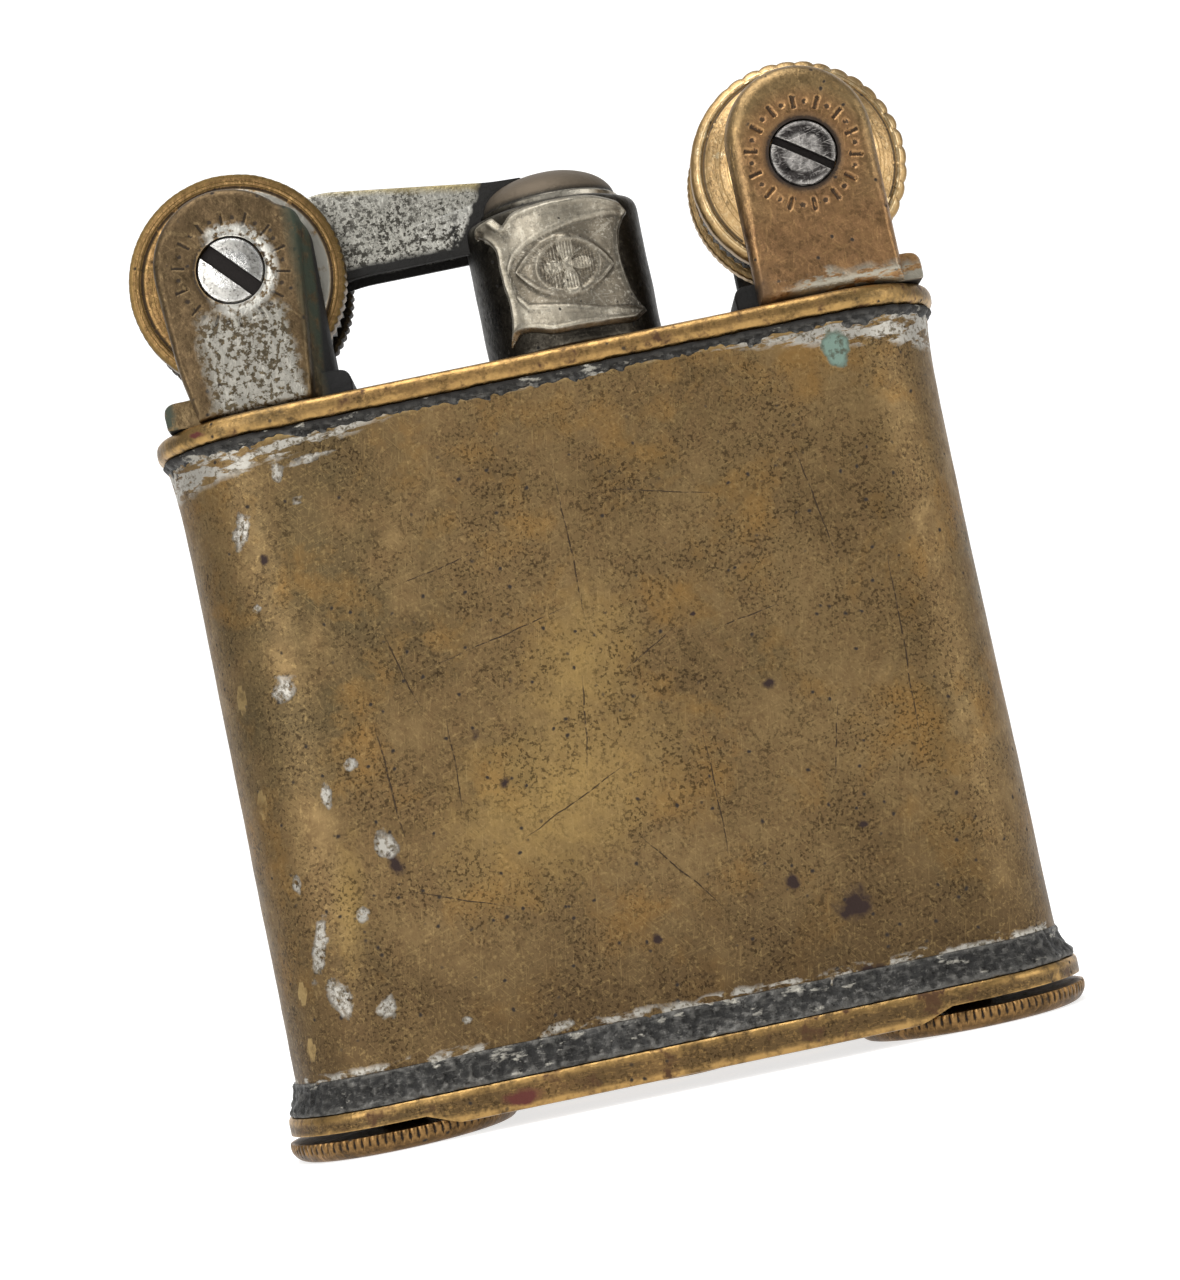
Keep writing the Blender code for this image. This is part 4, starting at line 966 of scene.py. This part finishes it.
def discGrid(side, rear):
    # the edge is knurled: fine V teeth on the left pair, coarse scallops on the right front disc
    profile = discProfile(side)
    scalloped = side == "right" and not rear
    count = wheel["scallops"] if scalloped else wheel["teeth"]
    depth = wheel["scallopDepth"] if scalloped else wheel["toothDepth"] * (0.35 if side == "right" else 1)
    steps = count * (10 if scalloped else 7)
    angle = fullTurn(steps)
    wave = np.abs(np.sin(count * angle / 2))
    bite = (1 - wave) ** 1.4 if scalloped else 1 - wave ** 0.9
    worn = 0.75 + 0.25 * np.sin(angle * 3 + 1) * np.sin(angle * 5)
    if not rear:  # the knurl is worn smooth but for a stretch where no thumb reaches
        middle, reach = wheel["knurled"][side]
        far = np.abs((angle - radians(middle) + pi) % (2 * pi) - pi)
        worn = worn * (0.12 + 0.88 * smoothStep(-far, -radians(reach), -radians(reach - 30)))
    near = smoothStep(profile[:, :1], wheel["radius"] - (0.75 if scalloped else 0.3), wheel["radius"] - 0.02)
    radius = profile[:, :1] - depth * bite * worn * near
    grid = around(radius, profile[:, 1:2], angle)
    grid = grid + 0.006 * waves(grid, 1.5, 13)[..., None]
    return grid * (-1, 1, -1) if rear else grid


def makeWheels():
    # two brass discs, a steel wheel whose slanting teeth rise and drop like a saw's, and a sleeve through all
    for side, at in sides.items():
        for place in ("front", "rear"):
            name = side + place.capitalize() + "Disc"
            grid = toFront(discGrid(side, place == "rear") * mm) + at
            finish = finishes["sootAndShade" if name == "leftRearDisc" else side + "Disc"]
            makePiece(name, [(grid, True)], finish, [side + "_" + place + "_disc"])
        r, half, count = wheel["sparkRadius"], wheel["sparkHalf"], wheel["sparkTeeth"]
        edge = roundedPath([(wheel["bore"], -half, 0), (r, -half, 0.12), (r, half, 0.12), (wheel["bore"], half, 0)])
        profile = evenly(edge, 46)
        angle = fullTurn(count * 8)
        slant = (count * angle / (2 * pi) + profile[:, 1:2] * 0.55) % 1
        bite = wheel["sparkDepth"] * slant * smoothStep(profile[:, :1], r - 0.5, r - 0.1)
        grid = toFront(around(profile[:, :1] - bite, profile[:, 1:2], angle) * mm) + at
        makePiece(side + "SparkWheel", [(grid, True)], finishes["spark"], [side + "_spark_wheel"])
        reach = fork["face"] - fork["sheet"] - 0.15
        sleeve = roundedPath([(1.1, -reach, 0), (1.6, -reach, 0.08), (1.6, reach, 0.08), (1.1, reach, 0)])
        grid = toFront(turnedGrid(evenly(sleeve * mm, 60), 64)) + at
        makePiece(side + "HubSleeve", [(grid, True)], finishes["plain"], [side + "_hub_sleeve"])


makeWheels()
print("wheels made")


arm = {"bottom": 7.4, "topNear": 12.95, "topFar": 11.45, "hub": 3.1, "half": 1.55, "wall": 0.35, "roof": 0.45}
cup = {"radius": 5.25, "bore": 4.3, "bottom": 0.2, "top": 8.9, "shoulder": 0.75, "band": 4.3, "bandTop": 9.4,
       "dome": 4.12, "domeTop": 11.5}


def cupOuter():
    # from the mouth up the wall, in over the shoulder, and up a quarter ellipse
    top, radius, band = cup["top"], cup["radius"], cup["band"]
    rise = cup["domeTop"] - cup["bandTop"]
    dome = [(cup["dome"] * cos(a), cup["bandTop"] + rise * sin(a), 0) for a in np.linspace(0, pi / 2, 24)[:-1]]
    corners = [(radius, cup["bottom"], 0.12), (radius, top, cup["shoulder"]), (band, top, 0.04),
               (band, cup["bandTop"], 0.15)] + dome
    return corners


def makeSnuffer():
    # the cup is one turned shell from the roof of its bore, round the mouth and up to the dome
    inner = [(0.3, cup["top"] - 0.7, 0), (cup["bore"], cup["top"] - 0.7, 0.5), (cup["bore"], cup["bottom"], 0.1)]
    profile = evenly(roundedPath(inner + cupOuter(), False, 8), 190, False)
    grid = turnedGrid(profile * mm, 220)
    grid = grid + 0.00002 * waves(grid, 3 * mm, 15)[..., None]
    at = np.array([capX, 0, deckTop])
    makePiece("snufferCup", [(grid + at, False)], finishes["cup"], ["snuffer_cup"])

    hinge = sides["left"]
    low, high = (deckTop - hinge[2]) / mm, (capX - hinge[0]) / mm
    edge, hub = high - 1.2, arm["hub"]
    bend = [(hub * cos(a), hub * sin(a), 0) for a in np.linspace(radians(72), radians(282), 26)]
    corners = bend + [(6.2, low + arm["bottom"], 1.6), (edge, low + arm["bottom"], 0),
                      (edge, low + arm["topFar"] - 0.1, 0), (high - 3.0, low + arm["topFar"] - 0.02, 0.6),
                      (5.3, low + arm["topNear"], 1.2)]
    outline = evenly(roundedPath(corners, True, 8), 520)
    reach = np.linalg.norm(outline, axis=1)[:, None]
    ray, hole, half = outline / reach, 1.75, arm["half"]
    # the section is a plate with rounded edges; the rows run out over one face and back over the other
    inset = [(0.28, half), (0.16, half - 0.03), (0.07, half - 0.1), (0, half - 0.3), (0, 0), (0, 0.3 - half),
             (0.07, 0.1 - half), (0.16, 0.03 - half), (0.28, -half)]
    grid = [lifted(ray * (hole + (reach - hole - 0.4) * mix), half) for mix in (0, 0.15, 0.35, 0.55, 0.75, 0.9)]
    grid += [lifted(ray * (reach - cut), y) for cut, y in inset]
    grid += [lifted(ray * (hole + (reach - hole - 0.4) * mix), y)
             for mix, y in ((0.9, -half), (0.4, -half), (0, -half), (0, 0))]
    piece = makePiece("snufferArm", [(toFront(np.stack(grid) * mm) + hinge, True)], finishes["arm"], ["snuffer_arm"])
    inside, far = half - arm["wall"], 9.0
    room = [(-far, -far), (0, -far), (0, far), (-far, far)]
    slope = (arm["topNear"] - arm["topFar"]) / (high - 3.4 - 5.3)
    under = low + arm["topNear"] - arm["roof"]
    trough = [(5.0, -far), (30, -far), (30, under - slope * 24.7), (5.0, under + slope * 0.3)]
    for shape in (room, trough):
        sawn(piece, shape, (-inside, inside), lambda points: toFront(points) + hinge)
    clear = turnedGrid(np.array([(6.35, -inside), (6.35, inside)]) * mm, 160)
    cutPiece(piece, [(toFront(clear) + hinge, False)])
    solid = evenly(roundedPath([(0.3, cup["bottom"], 0)] + cupOuter(), False, 8), 160, False)
    cutPiece(piece, [(turnedGrid(solid * mm, 160) + at, False)])


# a pressed plate: cusps at three corners, a scroll at the fourth, a sunk panel, an eye and a leaf rosette
plate = {"thick": 0.24, "bead": 0.1, "cols": 560, "rows": 72, "hatchPitch": 0.17, "middle": 4.8,
         "outline": [(0, 8.82, 0.5), (2.4, 8.8, 0.5), (4.5, 8.25, 0.4), (4.95, 7.55, 0.1), (3.95, 6.4, 0.6),
                     (3.72, 4.6, 0.8), (4.1, 2.8, 0.6), (5.0, 1.6, 0.1), (3.75, 0.95, 0.4), (1.5, 0.93, 0.3),
                     (-1.3, 0.98, 0.4), (-2.4, 1.42, 0.4), (-3.3, 1.55, 0.3), (-4.15, 0.85, 0.08), (-3.72, 2.2, 0.5),
                     (-3.6, 3.2, 0.5), (-3.86, 5.0, 0.8), (-3.8, 6.7, 0.5), (-4.25, 7.25, 0.2), (-5.35, 7.85, 0.2),
                     (-5.1, 8.55, 0.3), (-3.8, 8.75, 0.3), (-3.05, 7.98, 0.12), (-2.3, 8.6, 0.4)],
         "panelTop": [(-3.15, 5.25), (-2.7, 6.0), (-1.8, 6.5), (-0.7, 6.85), (1.15, 7.3), (3.1, 7.45), (5.2, 7.5)],
         "panelFoot": [(-3.15, 5.2), (-2.85, 3.6), (-2.3, 2.85), (-0.3, 2.4), (1.8, 1.85), (5.2, 1.75)],
         "eye": (0.15, 4.75, 2.85, 1.85, -6), "field": (0.35, 4.75, 1.8, 1.5)}  # x, height, half sizes, degrees


def panelMask(s, z):
    # 1 well inside the sunk panel, 0 at its border: the nearer of its upper and lower edges
    top, foot = (np.array(plate[k]) for k in ("panelTop", "panelFoot"))
    room = np.minimum(np.interp(s, *top.T) - z, z - np.interp(s, *foot.T))
    return np.where(s < top[0, 0], -1.0, room)


def plateRelief(s, z, edge):
    # height over the plate's back at arc position s and height z (mm), and how dark the place has stayed
    lift = plate["thick"] * (1 - np.exp(-edge / 0.12)) + plate["bead"] * np.exp(-((edge - 0.3) / 0.16) ** 2)
    room = panelMask(s, z)
    sunk = smoothStep(room, 0.02, 0.22)
    lift = lift - 0.08 * sunk + 0.03 * np.exp(-((room + 0.12) / 0.12) ** 2)
    x, height, long, tall, tilt = plate["eye"]
    turn = radians(tilt)
    along = (s - x) * cos(turn) + (z - height) * sin(turn)
    across = (z - height) * cos(turn) - (s - x) * sin(turn)
    lens = 1 - np.abs(across) / tall - (along / long) ** 2 * 0.95
    lift = lift + 0.13 * np.exp(-((lens - 0.07) / 0.1) ** 2) * (np.abs(along) < long)
    x, height, wide, tall = plate["field"]
    inner = np.hypot((s - x) / wide, (z - height) / tall)
    field = smoothStep(1 - inner, 0.04, 0.16)
    lift = lift + 0.07 * np.exp(-((inner - 1) / 0.09) ** 2) - 0.05 * field
    lift = lift + 0.022 * np.sin(2 * pi * s / plate["hatchPitch"]) * field
    turn, far = np.arctan2(z - height, s - x), np.hypot(s - x, (z - height) * 0.8)
    petal = 1.5 * (0.26 + 0.74 * np.abs(np.cos(2 * turn)) ** 1.4)
    flower = smoothStep(petal - far, -0.08, 0.25)
    lift = lift + 0.12 * flower + 0.08 * smoothStep(0.34 - far, -0.05, 0.12)
    scroll = np.hypot(s + 4.75, (z - 7.75) * 1.2)
    lift = lift - 0.16 * smoothStep(0.42 - scroll, -0.1, 0.2)
    dark = 0.7 * sunk * (1 - 0.8 * flower) + 0.2 * field * (1 - flower) + smoothStep(0.5 - scroll, -0.1, 0.25)
    return lift, dark


def makeCartouche():
    # the plate lies on the cup: arc position s goes round it, and its top bends in over the shoulder
    outline = evenly(roundedPath(plate["outline"], True, 8), plate["cols"]) - (0, plate["middle"])
    mixes = np.linspace(0.004, 1, plate["rows"]) ** 0.8
    s, z = (mixes[:, None] * outline[None, :, k] for k in (0, 1))
    flat = np.stack([s, z], -1).reshape(-1, 2)
    gap = np.full(len(flat), 9.0)
    for a in outline[::2]:
        gap = np.minimum(gap, np.hypot(flat[:, 0] - a[0], flat[:, 1] - a[1]))
    edge = gap.reshape(s.shape) * (mixes[:, None] < 0.999)
    z = z + plate["middle"]
    lift, dark = plateRelief(s, z, edge)
    lift = lift + 0.014 * waves(np.stack([s, z, 0 * s], -1), 0.9, 17)
    lift[-1] = 0
    backMixes = np.array([1, 0.8, 0.5, 0.2, 0.004])[:, None]
    s = np.concatenate([s, backMixes * outline[None, :, 0]])
    z = np.concatenate([z, backMixes * outline[None, :, 1] + plate["middle"]])
    lift = np.concatenate([lift, np.full((5, plate["cols"]), -0.04)])
    bent = np.clip((z - cup["top"]) / cup["shoulder"] + 1, 0, 0.98)
    out = cup["radius"] + 0.06 - cup["shoulder"] * (1 - np.sqrt(1 - bent)) ** 2 + lift
    turn = s / cup["radius"]
    grid = np.stack([out * np.sin(turn), -out * np.cos(turn), z], -1) * mm
    at = np.array([capX, 0, deckTop])
    piece = makePiece("capCartouche", [(grid + at, False)], finishes["cartouche"], ["cap_cartouche"])
    points = pointsOf(piece) / mm - at / mm
    place = np.arctan2(points[:, 0], -points[:, 1]) * cup["radius"]
    addField(piece, "sunk", plateRelief(place, points[:, 2], np.ones(len(points)))[1])


makeSnuffer()
makeCartouche()
print("snuffer made")


burner = {"tube": 2.0, "bore": 1.65, "collar": 3.0, "collarTop": 0.8, "strands": 12}


def makeBurner():
    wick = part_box("wick")
    middle, deck = middleX("wick"), deckTop / mm
    low, high = levels("burner_tube")
    profile = roundedPath([(burner["bore"], low, 0.05), (burner["tube"], low, 0.05),
                           (burner["tube"], deck + 0.03, 0), (burner["collar"], deck + 0.03, 0.05),
                           (burner["collar"], deck + burner["collarTop"], 0.25),
                           (burner["tube"], deck + 0.95, 0.2), (burner["tube"], high, 0.12),
                           (burner["bore"], high, 0.1)])
    grid = turnedGrid(evenly(profile * mm, 140), 96)
    grid[..., 0] += middle
    makePiece("burnerTube", [(grid, True)], finishes["plain"], ["burner_tube"])

    # the wick is braided: two sets of strands cross each other round it, and its top is frayed
    z = np.linspace(wick[0][2], wick[1][2], 230) / mm
    angle = fullTurn(144)
    rise = z[:, None] * 2 * pi / 6.0
    count = burner["strands"] / 2
    braid = np.maximum(np.cos(count * angle + rise * count), np.cos(count * angle - rise * count))
    radius = 1.42 + 0.09 * braid - 0.25 * smoothStep(z, z[-1] - 0.5, z[-1])[:, None] ** 2
    grid = around(radius, z[:, None], angle)
    grid[-12:, :, 2] += 0.18 * waves(grid[-12:], 0.5, 19)
    grid = grid * mm
    grid[..., 0] += middle
    makePiece("braidedWick", [(grid, False)], finishes["wick"], ["wick"])

    low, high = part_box("cotton_wadding")[0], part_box("cotton_wadding")[1]
    foot, head = levels("cotton_wadding")
    side = roundedPath([(-4.6, foot, 0), (-0.1, foot, 1.5), (-0.1, head, 1.5), (-4.6, head, 0)], False, 8)
    width, depth = high[0] - low[0] - 0.2 * mm, high[1] - low[1] - 0.2 * mm
    grid = aroundOval(evenly(side * mm, 90, False), width, depth, 300)
    # it sags inwards in lumps and never bulges out
    lift = np.minimum(0.14 * waves(grid, 3 * mm, 21) + 0.07 * waves(grid, 1 * mm, 22) - 0.3, 0)
    grid = grid + ovalWalk(width, depth, 300)[1] * lift[..., None] * mm
    piece = makePiece("cottonWadding", [(grid, False)], finishes["cotton"], ["cotton_wadding"])
    for x, radius in [(x, 2.5 * mm) for x in tubeX.values()] + [(middle, 1.75 * mm)]:
        drill(piece, x, [(radius, 1 * mm), (radius, case["through"] * mm)], 48)


makeBurner()
print("burner made")


knob = {"radius": 6.8, "height": 1.15, "teeth": 90, "toothDepth": 0.13, "shank": 1.35, "shankTop": 9.0,
        "pitch": 0.5}
spring = {"wire": 0.34, "radius": 1.02, "turns": 40, "push": 1.6}


def threadedGrid(radius, low, high, pitch, steps):
    # a screw thread: the radius dips by a fifth of the pitch in a helical V
    z = np.linspace(low, high, int((high - low) / pitch * 9))
    angle = fullTurn(steps)
    phase = np.abs((z[:, None] / pitch - angle / (2 * pi)) % 1 - 0.5) * 2
    fade = smoothStep(z, low, low + pitch)[:, None] * smoothStep(-z, -high, pitch / 2 - high)[:, None]
    r = radius - 0.22 * pitch * phase * fade - 0.15 * smoothStep(z, high - 0.3, high)[:, None]
    return around(r, z[:, None], angle)


def makeFeeds():
    # knob, tube, flint, follower and spring of each side; the knob's radius dips between |sin| shaped teeth
    for side, x in tubeX.items():
        shift = np.array([x, 0, 0])
        r, top = knob["radius"], knob["height"]
        edge = roundedPath([(0.4, 0.12, 0), (4.9, 0.12, 0.1), (5.1, 0, 0.1), (r - 0.5, 0, 0.35), (r, 0.6, 0.35),
                            (r, top, 0.1), (0.4, top, 0)], False, 8)
        profile = evenly(edge, 84, False)
        angle = fullTurn(knob["teeth"] * 8)
        bite = knob["toothDepth"] * (1 - np.abs(np.sin(knob["teeth"] * angle / 2)) ** 0.7)
        near = smoothStep(profile[:, :1], r - 0.3, r - 0.05) * smoothStep(profile[:, 1:2], 0.5, 0.7)
        radius = profile[:, :1] - bite * near * (0.8 + 0.2 * np.sin(3 * angle))
        disc = around(radius, profile[:, 1:2], angle)
        disc = disc + 0.006 * waves(disc, 2.0, 23)[..., None] * (disc[..., 2:] > 0.05)
        shank = threadedGrid(knob["shank"], top - 0.02, knob["shankTop"], knob["pitch"], 72)
        makePiece(side + "FlintKnob", [(disc * mm + shift, False), (shank * mm + shift, False)], finishes["knob"],
                  [side + "_flint_knob"])

        low, high = levels(side + "_flint_tube")
        wall = roundedPath([(1.5, low, 0), (2.3, low, 0.1), (2.3, high, 0.1), (1.5, high, 0.1)])
        makePiece(side + "FlintTube", [(turnedGrid(evenly(wall * mm, 80), 72) + shift, True)], finishes["plain"],
                  [side + "_flint_tube"])
        low, high = levels(side + "_flint")
        rod = roundedPath([(0.2, low, 0), (1.18, low, 0.08), (1.18, high, 0.1), (0.2, high, 0)], False)
        grid = turnedGrid(evenly(rod, 60, False) * mm, 64)
        grid = grid + 0.000012 * waves(grid, 0.4 * mm, 25)[..., None]
        makePiece(side + "Flint", [(grid + shift, False)], finishes["flint"], [side + "_flint"])
        low, high = levels(side + "_flint_follower")
        body = roundedPath([(0.2, low, 0), (0.52, low, 0.15), (0.52, high - 0.9, 0.1), (1.18, high - 0.9, 0.08),
                            (1.18, high, 0.08), (0.2, high, 0)], False)
        makePiece(side + "FlintFollower", [(turnedGrid(evenly(body * mm, 60, False), 48) + shift, False)],
                  finishes["plain"], [side + "_flint_follower"])

        # the spring is a circle of wire carried along a helix, its last turns closed
        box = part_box(side + "_flint_spring")
        t = np.linspace(0, 1, spring["turns"] * 26)
        turn = 2 * pi * spring["turns"] * t
        rise = box[0][2] / mm + 0.2 + (box[1][2] - box[0][2] - 0.4 * mm) / mm * t
        centre = np.stack([spring["radius"] * np.cos(turn), spring["radius"] * np.sin(turn), rise], -1)
        outward = np.stack([np.cos(turn), np.sin(turn), 0 * turn], -1)
        angle = fullTurn(8)
        wire = spring["wire"] / 2
        grid = centre[:, None] + wire * (np.cos(angle)[None, :, None] * outward[:, None])
        grid[..., 2] += wire * np.sin(angle)
        coil = makePiece(side + "FlintSpring", [(grid * mm + shift, False)], finishes["spring"],
                         [side + "_flint_spring"])
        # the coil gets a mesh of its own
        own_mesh(coil)


def makeFiller():
    # a coin-slotted screw with its washer, in a plain bush
    low, high = levels("filler_screw")
    head = roundedPath([(0.3, low, 0), (3.6, low, 0.25), (3.6, low + 0.7, 0.1), (0.3, low + 0.7, 0)], False, 8)
    grids = [(turnedGrid(evenly(head * mm, 60, False), 120), False),
             (threadedGrid(1.9, low + 0.68, high, knob["pitch"], 72) * mm, False)]
    piece = makePiece("fillerScrew", grids, finishes["rim"], ["filler_screw"])
    bar = np.array([(-5, -0.5), (5, -0.5), (5, 0.5), (-5, 0.5)])
    sawn(piece, bar, (low - 1, low + 0.35), lambda points: points)
    for name, node, inner, outer, material in (("fillerWasher", "filler_washer", 2.0, 3.3, finishes["fibre"]),
                                               ("fillerBush", "filler_bush", 2.0, 3.4, finishes["plain"])):
        low, high = levels(node)
        ring = roundedPath([(inner, low, 0.05), (outer, low, 0.06), (outer, high, 0.06), (inner, high, 0.05)])
        makePiece(name, [(turnedGrid(evenly(ring * mm, 60), 96), True)], material, [node])


makeFeeds()
makeFiller()
print("flint feeds and filler made")


studio = {"floor": "#c4c4c3", "world": 0.42, "lights": [
    # name, place (m), aimed at, size (m), watts
    ("topLight", (-0.05, -0.12, 0.42), (0, 0, 0.03), 0.30, 1.3),
    ("frontLight", (-0.22, -0.34, 0.16), (0, 0, 0.025), 0.22, 0.7),
    ("rightLight", (0.36, -0.16, 0.12), (0, 0, 0.03), 0.22, 0.35)]}


def paperSweep():
    # white paper: matt, with a faint tooth
    material, tree, shader, coords = startFinish("paperSweep", {"Metallic": 0.0, "Emission Strength": 0.72})
    shader.inputs["Emission Color"].default_value = linearColour("#ffffff")
    tooth = patches(tree, coords, 0.4, 0.4, 0.6)
    colour = coats(tree, studio["floor"], [(tooth, "#c0c0bf")])
    finishOff(tree, shader, colour, coats(tree, 0.85, [(tooth, 0.8)]), None, tooth, 0.01)
    return material


def makeStage():
    # a sheet that lies flat under the lighter and curves up behind it
    across = np.linspace(-1.1, 1.1, 24)
    turn = np.linspace(0, pi / 2, 16)
    y = np.concatenate([np.linspace(-0.5, 0.45, 12), 0.45 + 0.2 * np.sin(turn[1:]), np.full(6, 0.65)])
    z = np.concatenate([np.zeros(12), 0.2 - 0.2 * np.cos(turn[1:]), np.linspace(0.3, 1.1, 6)])
    grid = np.stack(np.broadcast_arrays(across[None], y[:, None], z[:, None]), -1).reshape(-1, 3)
    rows, cols = len(y), len(across)
    r, c = np.arange(rows - 1)[:, None], np.arange(cols - 1)[None]
    quads = np.stack([r * cols + c, r * cols + c + 1, (r + 1) * cols + c + 1, (r + 1) * cols + c], -1)
    mesh = bpy.data.meshes.new("sweep")
    mesh.from_pydata(grid, [], quads.reshape(-1, 4))
    mesh.shade_smooth()
    mesh.materials.append(paperSweep())
    sweep = bpy.data.objects.new("sweep", mesh)
    bpy.context.scene.collection.objects.link(sweep)
    world = bpy.data.worlds.new("softRoom")
    world.use_nodes = True
    glow = world.node_tree.nodes["Background"]
    glow.inputs[0].default_value = linearColour("#f2f4f6")
    glow.inputs[1].default_value = studio["world"]
    bpy.context.scene.world = world
    for name, place, aim, size, watts in studio["lights"]:
        data = bpy.data.lights.new(name, "AREA")
        data.size, data.energy = size, watts
        light = bpy.data.objects.new(name, data)
        light.location = place
        light.rotation_euler = (Vector(aim) - Vector(place)).to_track_quat("-Z", "Y").to_euler()
        bpy.context.scene.collection.objects.link(light)
    bpy.context.scene.view_settings.view_transform = "Standard"


makeStage()
print("stage set")
